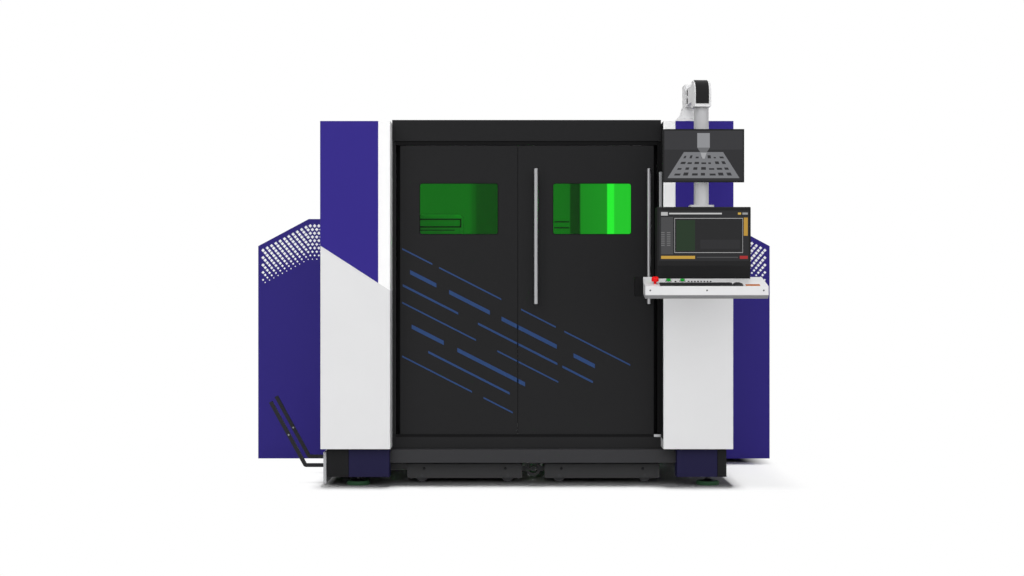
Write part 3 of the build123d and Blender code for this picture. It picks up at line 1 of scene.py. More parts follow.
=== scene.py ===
import json

import bmesh
import bpy
import numpy as np
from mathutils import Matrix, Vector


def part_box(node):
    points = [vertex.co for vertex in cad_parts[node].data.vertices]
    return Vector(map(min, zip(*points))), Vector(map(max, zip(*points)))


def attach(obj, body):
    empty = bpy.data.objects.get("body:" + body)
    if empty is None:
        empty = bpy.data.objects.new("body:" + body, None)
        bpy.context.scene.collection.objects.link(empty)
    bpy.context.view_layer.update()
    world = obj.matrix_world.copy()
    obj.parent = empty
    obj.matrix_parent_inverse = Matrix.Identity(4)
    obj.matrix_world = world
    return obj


bl_info = {
    "name": "Laser Cutting Machine",
    "version": (1, 0, 0),
    "blender": (4, 5, 0),
    "location": "View3D > Sidebar > Machine",
    "description": "Paints, films, lights and trim on the packed laser cutting machine",
    "category": "Object",
}

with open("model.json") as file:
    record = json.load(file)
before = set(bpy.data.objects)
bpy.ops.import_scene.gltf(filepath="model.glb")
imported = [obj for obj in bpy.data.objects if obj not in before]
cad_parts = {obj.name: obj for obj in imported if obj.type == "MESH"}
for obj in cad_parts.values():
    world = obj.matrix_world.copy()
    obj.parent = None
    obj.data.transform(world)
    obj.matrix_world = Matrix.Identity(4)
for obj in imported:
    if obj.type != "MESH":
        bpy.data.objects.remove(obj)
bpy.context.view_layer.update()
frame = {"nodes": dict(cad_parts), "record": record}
NODES = frame["nodes"]
MM = 0.001
FADE = 0.25              # distance over which the floor turns plain white
PANEL_WIDTH = 0.358      # of the coloured panel on each column's front
DIAGONAL_RISE = 0.6454   # slope of its lower edge
EAVE_RUN = 0.353         # width of the sloping part of a cabinet's top
EAVE_FALL = 0.189        # how far it falls
SHADE_INSET = 0.07       # how far the shaded part of the floor lies in from the left wall
SHADE_PAST = 0.25        # and how far it goes past the right wall
TRAY_SLOPE = np.arctan2(0.045, 0.1893)
SWIVEL = np.array([1.0875, -1.110, 0])
ARM_TURN = np.radians(2.1)
CONSOLE_NODES = frame["record"]["behaviour"]["bodies"]["console"]
FRONT = (1, 0, 0), (0, 0, 1)    # directions across and up on an upright plane


def linear(hex_colour):
    """sRGB hex to linear RGBA: c / 12.92 up to 0.04045, above it ((c + 0.055) / 1.055) to the power 2.4."""
    channels = np.array([int(hex_colour[i:i + 2], 16) for i in (1, 3, 5)]) / 255
    low, high = channels / 12.92, ((channels + 0.055) / 1.055) ** 2.4
    return (*np.where(channels <= 0.04045, low, high).tolist(), 1.0)


def colour_prop(name, description, hex_colour):
    return bpy.props.FloatVectorProperty(
        name=name, description=description, subtype="COLOR", size=4, min=0, max=1, default=linear(hex_colour)
    )


def length_prop(name, description, millimetres):
    return bpy.props.FloatProperty(
        name=name, description=description, unit="LENGTH", min=0, default=millimetres * MM
    )


def strength_prop(name, description, value):
    return bpy.props.FloatProperty(name=name, description=description, min=0, default=value)


class MachineColours(bpy.types.PropertyGroup):
    """Paint, film and light colours of the machine."""

    panel: colour_prop("Panel grey", "Powder coat of the cabin's panels", "#E2E2E3")
    band: colour_prop("Band white", "Upper white part of the columns", "#FDFDFD")
    purple: colour_prop("Purple", "Coloured column panels and side cabinets", "#332886")
    # Painted shade: the cabinets' purple is the columns' purple drawn darker for the lesser light that falls
    # on the cabinets
    cabinet_purple_shaded: colour_prop("Cabinet purple", "Side cabinets", "#30277A")
    door: colour_prop("Door black", "Door leaves, lintel and sill", "#242425")
    # Recess black is painted shade: the tracks and the jambs' right half are drawn near-black for the shade
    # they sit in
    recess: colour_prop("Recess black", "Jambs and tracks round the door", "#0B0B0C")
    bed: colour_prop("Bed grey", "Welded bed frame", "#363638")
    # Painted shade: the legs' purple paint is drawn as dark as it looks in its deep shade under the columns
    leg_purple_shaded: colour_prop("Leg tint", "Front legs", "#211F3D")
    cart_painted_light: colour_prop("Cart black", "Scrap carts", "#3A3A3B")
    # Painted light: the carts' black is drawn lighter to make up for the shade they stand in under the beam
    bar: colour_prop("Bar black", "Pull arms", "#232325")
    zinc: colour_prop("Zinc grey", "End plate of the carts", "#B4B5B7")
    pad: colour_prop("Pad green", "Anti-vibration pads", "#1E3B25")
    stripe: colour_prop("Stripe blue", "Film stripes on the door", "#284270")
    spot: colour_prop("Spot white", "Film spots on the cabinets", "#F6F6F8")
    glass: colour_prop("Window green", "Laser safety glass", "#27F533")
    console: colour_prop("Console grey", "Tray and arm", "#E3E3E4")
    case: colour_prop("Case black", "Console and monitor cases", "#19191A")
    stop: colour_prop("Stop red", "Stop button", "#E60A0A")
    start: colour_prop("Start green", "Start and pause buttons", "#12A32E")
    amber: colour_prop("Amber", "Mark on the tray", "#B9640F")


class MachineSizes(bpy.types.PropertyGroup):
    """Sizes of the films and trim."""

    film: length_prop("Film thickness", "Thickness of the printed films", 0.3)
    stripe_fall: bpy.props.FloatProperty(
        name="Stripe fall", description="Angle of the door stripes", subtype="ANGLE", default=np.radians(27)
    )
    stripe_pitch: length_prop("Stripe pitch", "Upright distance between lanes of stripes", 112)
    spot: length_prop("Spot size", "Half the diagonal of the largest printed spot", 12.5)
    spot_pitch: length_prop("Spot pitch", "Distance between columns of spots", 30)
    screw: length_prop("Screw radius", "Radius of the tray's screw heads", 5)
    bolt: length_prop("Bolt radius", "Radius of the carts' bolt heads", 8)
    seal: length_prop("Seal width", "Width of the rubber seal round a window", 5)
    lamp: length_prop("Lamp thickness", "Thickness of the work lights in the cabin", 6)


class MachineStage(bpy.types.PropertyGroup):
    """Camera and studio."""

    lens: bpy.props.FloatProperty(name="Lens", description="Focal length in millimetres", default=50, min=10)
    camera: bpy.props.FloatVectorProperty(
        name="Camera",
        description="Place of the camera",
        subtype="TRANSLATION",
        default=(-0.0135, -9.946, 1.218),
    )
    ambient: strength_prop("Ambient", "World light on the object", 0.13)
    key: strength_prop("Key", "Strength of the light from the front", 1.1)
    front: strength_prop("Front", "Strength of the light from the front that passes the console", 1.25)
    fill: strength_prop("Fill", "Strength of the light from the right", 0.8)
    top: strength_prop("Top", "Strength of the light from above", 2.4)
    side: strength_prop("Side", "Strength of the light from the left", 0.6)
    back: strength_prop("Back", "Strength of the light from behind", 1.2)


def colours():
    return bpy.context.scene.machine_colours


def sizes():
    return bpy.context.scene.machine_sizes


# Materials

def node(tree, kind, sockets=(), **settings):
    """Adds one node; sockets maps an input's name or index to a value or to another node's output."""
    made = tree.nodes.new(kind)
    for key, value in settings.items():
        setattr(made, key, value)
    for key, value in dict(sockets).items():
        if isinstance(value, bpy.types.NodeSocket):
            tree.links.new(value, made.inputs[key])
        else:
            made.inputs[key].default_value = value
    return made


def new_material(name):
    """An empty node material and its tree."""
    made = bpy.data.materials.new(name)
    made.use_nodes = True
    made.node_tree.nodes.clear()
    return made, made.node_tree


def close_material(tree, shader):
    node(tree, "ShaderNodeOutputMaterial", {"Surface": shader.outputs[0]})


def per_metre(millimetres):
    """Noise scale whose blotches are about this many millimetres across, on coordinates in metres."""
    return 1 / (millimetres * MM)


def shades(colour, *shares):
    """The colour times each share, kept within 0 to 1."""
    return [(*np.clip(np.array(colour)[:3] * share, 0, 1), 1.0) for share in shares]


def coat(name, colour, roughness=0.42, gloss=0.25, drift=0.035, peel_mm=7, peel=0.06, patches=()):
    """Powder-coated sheet steel, sprayed and baked: a satin sheen with orange peel and a slow drift in tone.

    The peel is 1 to 2 mm on the real paint and is drawn coarser so that it shows.
    patches gives pairs of a mask function and the colour that shows where its output is 1.
    """
    made, tree = new_material(name)
    place = node(tree, "ShaderNodeTexCoord").outputs["Object"]
    slow = node(tree, "ShaderNodeTexNoise", {"Vector": place, "Scale": per_metre(420), "Detail": 2.0})
    fine = node(tree, "ShaderNodeTexNoise", {"Vector": place, "Scale": per_metre(peel_mm), "Detail": 3.0})
    dark, light = shades(colour, 1 - drift, 1 + drift)
    tone = node(tree, "ShaderNodeMix", {"Factor": slow.outputs["Fac"], 6: dark, 7: light}, data_type="RGBA")
    tint = tone.outputs[2]
    for mask, patch in patches:
        picked = node(
            tree, "ShaderNodeMix", {"Factor": mask(tree, place), 6: tint, 7: tuple(patch)}, data_type="RGBA"
        )
        tint = picked.outputs[2]
    sheen = node(
        tree,
        "ShaderNodeMapRange",
        {"Value": fine.outputs["Fac"], "To Min": roughness - 0.05, "To Max": roughness + 0.05},
    )
    relief = {"Height": fine.outputs["Fac"], "Strength": peel, "Distance": 0.3 * MM}
    bump = node(tree, "ShaderNodeBump", relief)
    shader = node(
        tree,
        "ShaderNodeBsdfPrincipled",
        {
            "Base Color": tint,
            "Roughness": sheen.outputs[0],
            "Specular IOR Level": gloss,
            "Normal": bump.outputs["Normal"],
        },
    )
    close_material(tree, shader)
    return made


def brushed(name, colour, roughness=0.3, stretch=(1, 1, 0.03), grain_mm=1.5):
    """Brushed steel or alloy: fine scratches along one axis that spread the highlights.

    Brush lines are about 0.2 mm apart and are drawn wider so that they show.
    """
    made, tree = new_material(name)
    place = node(tree, "ShaderNodeTexCoord").outputs["Object"]
    drawn = node(tree, "ShaderNodeMapping", {"Vector": place, "Scale": stretch})
    lines = node(
        tree, "ShaderNodeTexNoise", {"Vector": drawn.outputs[0], "Scale": per_metre(grain_mm), "Detail": 4.0}
    )
    dark, light = shades(colour, 0.88, 1.1)
    tone = node(tree, "ShaderNodeMix", {"Factor": lines.outputs["Fac"], 6: dark, 7: light}, data_type="RGBA")
    sheen = node(
        tree,
        "ShaderNodeMapRange",
        {"Value": lines.outputs["Fac"], "To Min": roughness - 0.06, "To Max": roughness + 0.08},
    )
    relief = {"Height": lines.outputs["Fac"], "Strength": 0.08, "Distance": 0.2 * MM}
    bump = node(tree, "ShaderNodeBump", relief)
    shader = node(
        tree,
        "ShaderNodeBsdfPrincipled",
        {
            "Base Color": tone.outputs[2],
            "Metallic": 1.0,
            "Roughness": sheen.outputs[0],
            "Normal": bump.outputs["Normal"],
        },
    )
    close_material(tree, shader)
    return made


def moulded(name, colour, roughness=0.5, gloss=0.25, grain_mm=1.2, grain=0.12):
    """Moulded plastic or rubber: a fine spark-eroded grain that breaks up the highlights."""
    made, tree = new_material(name)
    place = node(tree, "ShaderNodeTexCoord").outputs["Object"]
    cells = node(tree, "ShaderNodeTexVoronoi", {"Vector": place, "Scale": per_metre(grain_mm)})
    cloud = node(tree, "ShaderNodeTexNoise", {"Vector": place, "Scale": per_metre(60)})
    dark, light = shades(colour, 0.94, 1.06)
    tone = node(tree, "ShaderNodeMix", {"Factor": cloud.outputs["Fac"], 6: dark, 7: light}, data_type="RGBA")
    sheen = node(
        tree,
        "ShaderNodeMapRange",
        {"Value": cloud.outputs["Fac"], "To Min": roughness - 0.06, "To Max": roughness + 0.06},
    )
    relief = {"Height": cells.outputs[0], "Strength": grain, "Distance": 0.15 * MM}
    bump = node(tree, "ShaderNodeBump", relief)
    shader = node(
        tree,
        "ShaderNodeBsdfPrincipled",
        {
            "Base Color": tone.outputs[2],
            "Roughness": sheen.outputs[0],
            "Specular IOR Level": gloss,
            "Normal": bump.outputs["Normal"],
        },
    )
    close_material(tree, shader)
    return made


def safety_glass(name, colour):
    """Cast acrylic laser shield: clear, deeply dyed, with a coated face that reflects little."""
    made, tree = new_material(name)
    shader = node(
        tree,
        "ShaderNodeBsdfPrincipled",
        {"Base Color": colour, "Roughness": 0.02, "IOR": 1.2, "Transmission Weight": 1.0},
    )
    close_material(tree, shader)
    return made


def printed_light(name, strength=1.0):
    """Lit picture or diffuser: each face glows in its own colour attribute, under a faint gloss."""
    made, tree = new_material(name)
    ink = node(tree, "ShaderNodeAttribute", attribute_name="ink").outputs["Color"]
    shader = node(
        tree,
        "ShaderNodeBsdfPrincipled",
        {
            "Base Color": (0.006, 0.006, 0.007, 1),
            "Roughness": 0.3,
            "Specular IOR Level": 0.1,
            "Emission Color": ink,
            "Emission Strength": strength,
        },
    )
    close_material(tree, shader)
    return made


def paint_nodes(material, *names):
    """Gives CAD nodes one material in every slot."""
    for name in names:
        slots = NODES[name].data.materials
        slots.clear()
        slots.append(material)


def seen_by_eye(tree):
    """1 for rays from the camera and for reflections, and the outputs of the Light Path node."""
    path = node(tree, "ShaderNodeLightPath").outputs
    rays = {0: path["Is Camera Ray"], 1: path["Is Glossy Ray"]}
    return node(tree, "ShaderNodeMath", rays, operation="MAXIMUM").outputs[0], path


def above_diagonal(tree, place):
    """1 above the slanting line that the coloured panels end on: z > foot + rise (|x - middle| - inner)."""
    low, high = box("column_panels")
    middle, inner = (low[0] + high[0]) / 2, (high[0] - low[0]) / 2 - PANEL_WIDTH
    parts = node(tree, "ShaderNodeSeparateXYZ", {0: place}).outputs
    from_middle = node(tree, "ShaderNodeMath", {0: parts["X"], 1: middle}, operation="SUBTRACT").outputs[0]
    distance = node(tree, "ShaderNodeMath", {0: from_middle}, operation="ABSOLUTE").outputs[0]
    line = node(
        tree,
        "ShaderNodeMath",
        {0: distance, 1: DIAGONAL_RISE, 2: low[2] - DIAGONAL_RISE * inner},
        operation="MULTIPLY_ADD",
    ).outputs[0]
    return node(tree, "ShaderNodeMath", {0: parts["Z"], 1: line}, operation="GREATER_THAN").outputs[0]


def right_of(x):
    """Mask that is 1 to the right of x."""
    def mask(tree, place):
        parts = node(tree, "ShaderNodeSeparateXYZ", {0: place}).outputs
        return node(tree, "ShaderNodeMath", {0: parts["X"], 1: x}, operation="GREATER_THAN").outputs[0]
    return mask


def below(height):
    """Mask that is 1 under a height."""
    def mask(tree, place):
        parts = node(tree, "ShaderNodeSeparateXYZ", {0: place}).outputs
        return node(tree, "ShaderNodeMath", {0: parts["Z"], 1: height}, operation="LESS_THAN").outputs[0]
    return mask


def near_points(points, radius):
    """Mask that is 1 within a radius of any of the points."""
    def mask(tree, place):
        nearest = None
        for point in points:
            ends = {0: place, 1: point}
            far = node(tree, "ShaderNodeVectorMath", ends, operation="DISTANCE").outputs["Value"]
            if nearest is not None:
                far = node(tree, "ShaderNodeMath", {0: nearest, 1: far}, operation="MINIMUM").outputs[0]
            nearest = far
        return node(tree, "ShaderNodeMath", {0: nearest, 1: radius}, operation="LESS_THAN").outputs[0]
    return mask


# Shapes

def box(name):
    """Lowest and highest corner of a CAD node, as arrays."""
    return tuple(map(np.array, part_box(name)))


def piece(name, points, faces, material, body, ink=None, smooth=False):
    """Puts arrays of points and faces into a closed mesh at the origin that rides on a CAD body."""
    mesh = bpy.data.meshes.new(name)
    mesh.from_pydata(points.reshape(-1, 3).tolist(), [], faces.tolist())
    if ink is not None:
        attribute = mesh.attributes.new("ink", "FLOAT_COLOR", "FACE")
        attribute.data.foreach_set("color", np.ascontiguousarray(ink, dtype=np.float32).ravel())
    work = bmesh.new()
    work.from_mesh(mesh)
    bmesh.ops.remove_doubles(work, verts=work.verts, dist=1e-6)
    bmesh.ops.recalc_face_normals(work, faces=work.faces)
    work.to_mesh(mesh)
    work.free()
    mesh.materials.append(material)
    mesh.polygons.foreach_set("use_smooth", np.full(len(mesh.polygons), smooth))
    made = bpy.data.objects.new(name, mesh)
    bpy.context.collection.objects.link(made)
    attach(made, body)
    if body == "console":
        pass_front(made)
    return made


def grid_faces(rows, columns, wrap_rows=False, wrap_columns=False):
    """Quads between neighbours (i, j), (i + 1, j), (i + 1, j + 1), (i, j + 1) of a grid of points."""
    down, along = rows - (not wrap_rows), columns - (not wrap_columns)
    i, j = np.meshgrid(np.arange(down), np.arange(along), indexing="ij")
    i_next, j_next = (i + 1) % rows, (j + 1) % columns
    corners = [i * columns + j, i_next * columns + j, i_next * columns + j_next, i * columns + j_next]
    return np.stack(corners, -1).reshape(-1, 4)


def slabs(corners, depth):
    """Thin closed boxes: each front is four corners, and each back is the front moved by the depth vector."""
    points = np.concatenate([corners, corners + np.asarray(depth)], axis=1)
    pattern = np.array([[0, 1, 2, 3], [7, 6, 5, 4], [0, 4, 5, 1], [1, 5, 6, 2], [2, 6, 7, 3], [3, 7, 4, 0]])
    faces = (np.arange(len(corners))[:, None, None] * 8 + pattern).reshape(-1, 4)
    return points, faces


def rectangles(boxes, origin, across, up):
    """Corners of rectangles (left, low, right, high) on the plane through origin along two directions."""
    boxes = np.asarray(boxes, float)
    a = boxes[:, [0, 2, 2, 0]][..., None] * np.asarray(across)
    b = boxes[:, [1, 1, 3, 3]][..., None] * np.asarray(up)
    return np.asarray(origin) + a + b


def plates(name, boxes, origin, plane, depth, material, body, ink=None):
    """Rectangles on a plane through origin, made as thick as the depth vector, as one piece."""
    points, faces = slabs(rectangles(boxes, origin, *plane), depth)
    return piece(name, points, faces, material, body, ink=ink)


def lathe(profile, centres, axis, across, turns=24):
    """Surfaces of revolution of profile points (r, h).

    Each is centre + h axis + r (cos t across + sin t (axis x across)), for t from 0 to a full turn.
    """
    axis, across = np.asarray(axis, float), np.asarray(across, float)
    t = np.linspace(0, 2 * np.pi, turns, endpoint=False)[:, None, None]
    ring = np.cos(t) * across + np.sin(t) * np.cross(axis, across)
    profile = np.asarray(profile, float)
    one = profile[None, :, :1] * ring + profile[None, :, 1:] * axis
    points = np.asarray(centres, float)[:, None, None, :] + one
    faces = grid_faces(turns, len(profile), wrap_rows=True)
    faces = (np.arange(len(points))[:, None, None] * turns * len(profile) + faces).reshape(-1, 4)
    return points, faces


def post(width, depth, radius, ends, centre, bevel=2 * MM):
    """A rounded rectangle carried up between two heights, drawn in by the bevel and closed at both ends."""
    section, outward = rounded_frame(width, depth, radius)
    low, high = ends
    share = np.array([0, 1, 1, 1, 1, 0])[:, None, None]
    inset = np.array([0, 1, 0, 0, 1, 0])[:, None, None] * bevel
    z = np.array([low, low, low + bevel, high - bevel, high, high])[:, None]
    flat = share * (section - outward * inset) + np.asarray(centre)
    points = np.concatenate([flat, np.broadcast_to(z, flat.shape[:2])[..., None]], axis=-1)
    return points, grid_faces(6, len(section), wrap_columns=True)


def rounded_frame(width, height, radius, steps=6):
    """Points round a rectangle with rounded corners, and their outward directions, in two dimensions."""
    t = np.concatenate([np.linspace(k, k + 1, steps) * np.pi / 2 for k in range(4)])
    outward = np.stack([np.cos(t), np.sin(t)], -1)
    signs = np.repeat(np.array([[1, 1], [-1, 1], [-1, -1], [1, -1]]), steps, axis=0)
    return signs * (np.array([width, height]) / 2 - radius) + outward * radius, outward


def bead(width, height, radius, section, centre):
    """A closed seal: section points (outwards, forwards) carried round a rounded rectangle that faces -Y."""
    path, outward = rounded_frame(width, height, radius)
    section = np.asarray(section)
    flat = path[:, None, :] + outward[:, None, :] * section[None, :, :1]
    points = np.stack(
        [
            centre[0] + flat[..., 0],
            np.broadcast_to(centre[1] - section[None, :, 1], flat.shape[:2]),
            centre[2] + flat[..., 1],
        ],
        -1,
    )
    return points, grid_faces(len(path), len(section), wrap_rows=True, wrap_columns=True)


def link_floor(source, state="EXCLUDE"):
    """Lets a lamp or a glowing piece light all but the floor, or the floor alone.

    So the machine's shadow stays below it.
    """
    lit = bpy.data.collections.new(f"{source.name}_receivers")
    lit.objects.link(bpy.data.objects["floor"])
    lit.collection_objects[0].light_linking.link_state = state
    source.light_linking.receiver_collection = lit


def pass_front(source):
    """Keeps a piece from casting the front lamp's shadow: the column stays pale behind the console."""
    passed = bpy.data.collections["front_passes"]
    passed.objects.link(source)
    passed.collection_objects[-1].light_linking.link_state = "EXCLUDE"


# Operators

class MACHINE_OT_stage(bpy.types.Operator):
    """Pale floor, soft studio light and the camera"""

    bl_idname = "machine.stage"
    bl_label = "Stage"

    def execute(self, context):
        scene = context.scene
        stage = scene.machine_stage
        scene.view_settings.view_transform = "Standard"
        camera = bpy.data.cameras.new("camera")
        camera.lens, camera.sensor_width, camera.clip_end = stage.lens, 36, 200
        eye = bpy.data.objects.new("camera", camera)
        eye.location = stage.camera
        eye.rotation_euler = (np.pi / 2, 0, 0)
        scene.collection.objects.link(eye)
        scene.camera = eye

        self.world(scene, stage)
        self.floor(scene)
        self.lamps(scene, stage)
        for name in CONSOLE_NODES:
            pass_front(NODES[name])
        return {"FINISHED"}

    @staticmethod
    def world(scene, stage):
        """White to the eye and through glass, before the light has met a matt surface, and dim after that."""
        world = bpy.data.worlds.new("studio")
        world.use_nodes = True
        tree = world.node_tree
        tree.nodes.clear()
        seen, path = seen_by_eye(tree)
        clear = node(tree, "ShaderNodeMath", {0: seen, 1: path["Is Transmission Ray"]}, operation="MAXIMUM")
        first = node(tree, "ShaderNodeMath", {0: path["Diffuse Depth"], 1: 0.5}, operation="LESS_THAN")
        shown = node(tree, "ShaderNodeMath", {0: clear.outputs[0], 1: first.outputs[0]}, operation="MULTIPLY")
        level = node(
            tree, "ShaderNodeMapRange", {"Value": shown.outputs[0], "To Min": stage.ambient, "To Max": 1.0}
        )
        sky = node(tree, "ShaderNodeBackground", {"Color": (1, 1, 1, 1), "Strength": level.outputs[0]})
        node(tree, "ShaderNodeOutputWorld", {"Surface": sky.outputs[0]})
        scene.world = world

    @staticmethod
    def floor(scene):
        """Matt floor: pale to the eye, darker to other light, and plain white away from the machine."""
        made, tree = new_material("pale_floor")
        seen, _ = seen_by_eye(tree)
        tone = node(
            tree,
            "ShaderNodeMix",
            {"Factor": seen, 6: (0.4, 0.4, 0.4, 1), 7: (0.95, 0.95, 0.95, 1)},
            data_type="RGBA",
        )
        matt = node(tree, "ShaderNodeBsdfDiffuse", {"Color": tone.outputs[2]})
        white = node(tree, "ShaderNodeEmission", {"Color": (1, 1, 1, 1), "Strength": 1.0})
        low, high = box("side_panel_left")[0], box("side_panel_right")[1]
        low[1] = box("column_left")[0][1]
        low, high = low + (SHADE_INSET, 0, 0), high + (SHADE_PAST, 0, 0)
        middle, half = (low + high) / 2 * (1, 1, 0), (high - low) / 2 * (1, 1, 0)
        # Distance outside the shaded box: the length of max(|place - middle| - half, 0)
        place = node(tree, "ShaderNodeTexCoord").outputs["Object"]
        off = node(tree, "ShaderNodeVectorMath", {0: place, 1: middle}, operation="SUBTRACT")
        side = node(tree, "ShaderNodeVectorMath", {0: off.outputs[0]}, operation="ABSOLUTE")
        past = node(tree, "ShaderNodeVectorMath", {0: side.outputs[0], 1: half}, operation="SUBTRACT")
        outside = node(tree, "ShaderNodeVectorMath", {0: past.outputs[0], 1: (0, 0, 0)}, operation="MAXIMUM")
        away = node(tree, "ShaderNodeVectorMath", {0: outside.outputs[0]}, operation="LENGTH")
        far = node(
            tree,
            "ShaderNodeMapRange",
            {"Value": away.outputs["Value"], "From Min": 0.0, "From Max": FADE},
            interpolation_type="SMOOTHSTEP",
        )
        share = node(tree, "ShaderNodeMath", {0: seen, 1: far.outputs[0]}, operation="MULTIPLY")
        shaders = {0: share.outputs[0], 1: matt.outputs[0], 2: white.outputs[0]}
        close_material(tree, node(tree, "ShaderNodeMixShader", shaders))
        mesh = bpy.data.meshes.new("floor")
        reach = 60.0
        corners = [(-reach, -reach, 0), (reach, -reach, 0), (reach, reach, 0), (-reach, reach, 0)]
        mesh.from_pydata(corners, [], [(0, 1, 2, 3)])
        mesh.materials.append(made)
        floor = bpy.data.objects.new("floor", mesh)
        scene.collection.objects.link(floor)

    @staticmethod
    def lamps(scene, stage):
        """Wide soft suns, each with the direction towards it and its spread in degrees."""
        ahead = (-0.20, -0.82, 0.54)
        suns = (
            ("key", ahead, 75, stage.key),
            ("front", ahead, 75, stage.front),
            ("fill", (0.80, -0.60, 0.30), 50, stage.fill),
            ("top", (0.0, 0.075, 1.0), 4, stage.top),
            ("side", (-0.45, 0.15, 0.88), 35, stage.side),
            ("back", (0.35, 0.80, 0.40), 60, stage.back),
        )
        for name, towards, spread, strength in suns:
            lamp = bpy.data.lights.new(name, "SUN")
            lamp.angle, lamp.energy = np.radians(spread), strength
            holder = bpy.data.objects.new(name, lamp)
            holder.rotation_euler = Vector(towards).to_track_quat("Z", "Y").to_euler()
            holder.visible_glossy = holder.visible_transmission = False
            scene.collection.objects.link(holder)
            if name != "side":
                link_floor(holder, "INCLUDE" if name == "top" else "EXCLUDE")
            if name == "front":
                holder.light_linking.blocker_collection = bpy.data.collections.new("front_passes")


class MACHINE_OT_structure(bpy.types.Operator):
    """Paints the cabin, the bed, the door and the cabinets"""

    bl_idname = "machine.structure"
    bl_label = "Structure"

    def execute(self, context):
        c = colours()
        paint_nodes(
            coat("white_powder_coat", c.panel, 0.38),
            "side_panel_left", "side_panel_right", "rear_panel", "roof_panel",
        )
        paint_nodes(
            coat("two_white_powder_coat", c.panel, 0.36, patches=[(above_diagonal, c.band)]),
            "column_left", "column_right",
        )
        paint_nodes(
            coat("purple_powder_coat", c.purple, 0.4, 0.1), "column_panels",
        )
        # The cabinets take the column purple darkened as painted shade
        paint_nodes(
            coat("purple_coat_painted_shade", c.cabinet_purple_shaded, 0.4, 0.1),
            "cabinet_left", "cabinet_right", "cabinet_door",
        )
        paint_nodes(
            coat("black_powder_coat", c.door, 0.46, 0.06), "lintel", "sill", "left_leaf", "right_leaf",
        )
        # Painted shade: the jambs' right half, beside the console, and both tracks under the lintel and the
        # door are drawn near-black for the shade they sit in; the left half keeps the door's black
        middle = np.mean(box("sill"), axis=0)[0]
        paint_nodes(
            coat("jamb_coat_with_painted_shade", c.door, 0.5, 0.1, patches=[(right_of(middle), c.recess)]), "door_jambs"
        )
        paint_nodes(moulded("track_painted_shade_black", c.recess, 0.5, 0.1), "top_track", "bottom_track")
        paint_nodes(
            coat("bed_enamel", c.bed, 0.5, 0.12),
            "front_beam", "rear_beam", "side_beams", "inner_legs", "rail_beams",
        )
        # The legs take their purple darkened as painted shade
        paint_nodes(coat("leg_enamel_painted_shade", c.leg_purple_shaded, 0.5, 0.08), "front_legs")
        paint_nodes(coat("skirt_enamel", linear("#1F1F20"), 0.5, 0.06), "leg_skirts")
        paint_nodes(moulded("green_rubber", c.pad, 0.7), "foot_pads")
        paint_nodes(brushed("black_oxide_studs", linear("#3C3C3E"), 0.5, (1, 1, 1), 3), "foot_studs")
        paint_nodes(
            brushed("brushed_stainless", linear("#B2B2B4"), 0.34),
            "door_handles", "linear_rails", "cutting_head",
        )
        paint_nodes(brushed("galvanised_steel", linear("#A9ACAF"), 0.4, (1, 1, 1), 18), "exhaust_spigot")
        paint_nodes(
            brushed("scorched_steel", linear("#6E625A"), 0.5, (1, 1, 1), 12), "table_slats", "table_racks"
        )
        paint_nodes(
            coat("grey_machine_enamel", linear("#B9BCBF"), 0.45),
            "gantry_beam", "cross_carriage", "control_plate", "laser_source",
        )
        paint_nodes(safety_glass("green_laser_acrylic", c.glass), "left_window", "right_window")
        return {"FINISHED"}


class MACHINE_OT_carts(bpy.types.Operator):
    """Paints the scrap carts and adds their bolt heads"""

    bl_idname = "machine.carts"
    bl_label = "Scrap carts"

    def execute(self, context):
        c, s = colours(), sizes()
        # The carts, their hitch and the pull frame's draw bars take a black drawn lighter, as painted light,
        # against the shade under the beam
        paint_nodes(coat("cart_enamel_painted_light", c.cart_painted_light, 0.5, 0.12), "cart_left", "cart_right", "train_hitch")
        plate_end = box("pull_frame")[0][0] + 19 * MM
        paint_nodes(
            coat("zinc_and_enamel", c.zinc, 0.4, patches=[(right_of(plate_end), c.cart_painted_light)]), "pull_frame"
        )
        paint_nodes(coat("bar_enamel", c.bar, 0.45, 0.15), "pull_arms")
        paint_nodes(
            moulded("grey_nylon", linear("#3A3A3C"), 0.55), "wheels_1", "wheels_2", "wheels_3", "wheels_4"
        )

        # Socket-head profile, in bolt radii
        profile = s.bolt * np.array(
            [[0, 0.55], [0.35, 0.55], [0.4, 0.25], [0.4, 0.7], [0.85, 0.6], [1, 0.3], [1, 0], [0, 0]]
        )
        dark = brushed("black_oxide_steel", linear("#2A2A2C"), 0.5, (1, 1, 1), 3)
        low, high = box("cart_left")
        inset, drop = 106 * MM, 29 * MM
        ends = [box(name)[side][0] for name in ("cart_left", "cart_right") for side in (0, 1)]
        centres = [
            (x + (inset if i % 2 == 0 else -inset), low[1], high[2] - drop) for i, x in enumerate(ends)
        ]
        points, faces = lathe(profile, centres, (0, -1, 0), (1, 0, 0))
        piece("cart_bolts", points, faces, dark, "carts")

        bright = brushed("zinc_plated_steel", linear("#9B9C9F"), 0.35, (1, 1, 1), 3)
        low, high = box("pull_arms")
        arm, bolt_height = 22 * MM, 0.298
        places = [(-1.413, low[1], bolt_height), (-1.455, high[1] - arm, bolt_height)]
        points, faces = lathe(profile * 0.75, places, (0, -1, 0), (1, 0, 0))
        piece("arm_bolts", points, faces, bright, "carts")
        return {"FINISHED"}


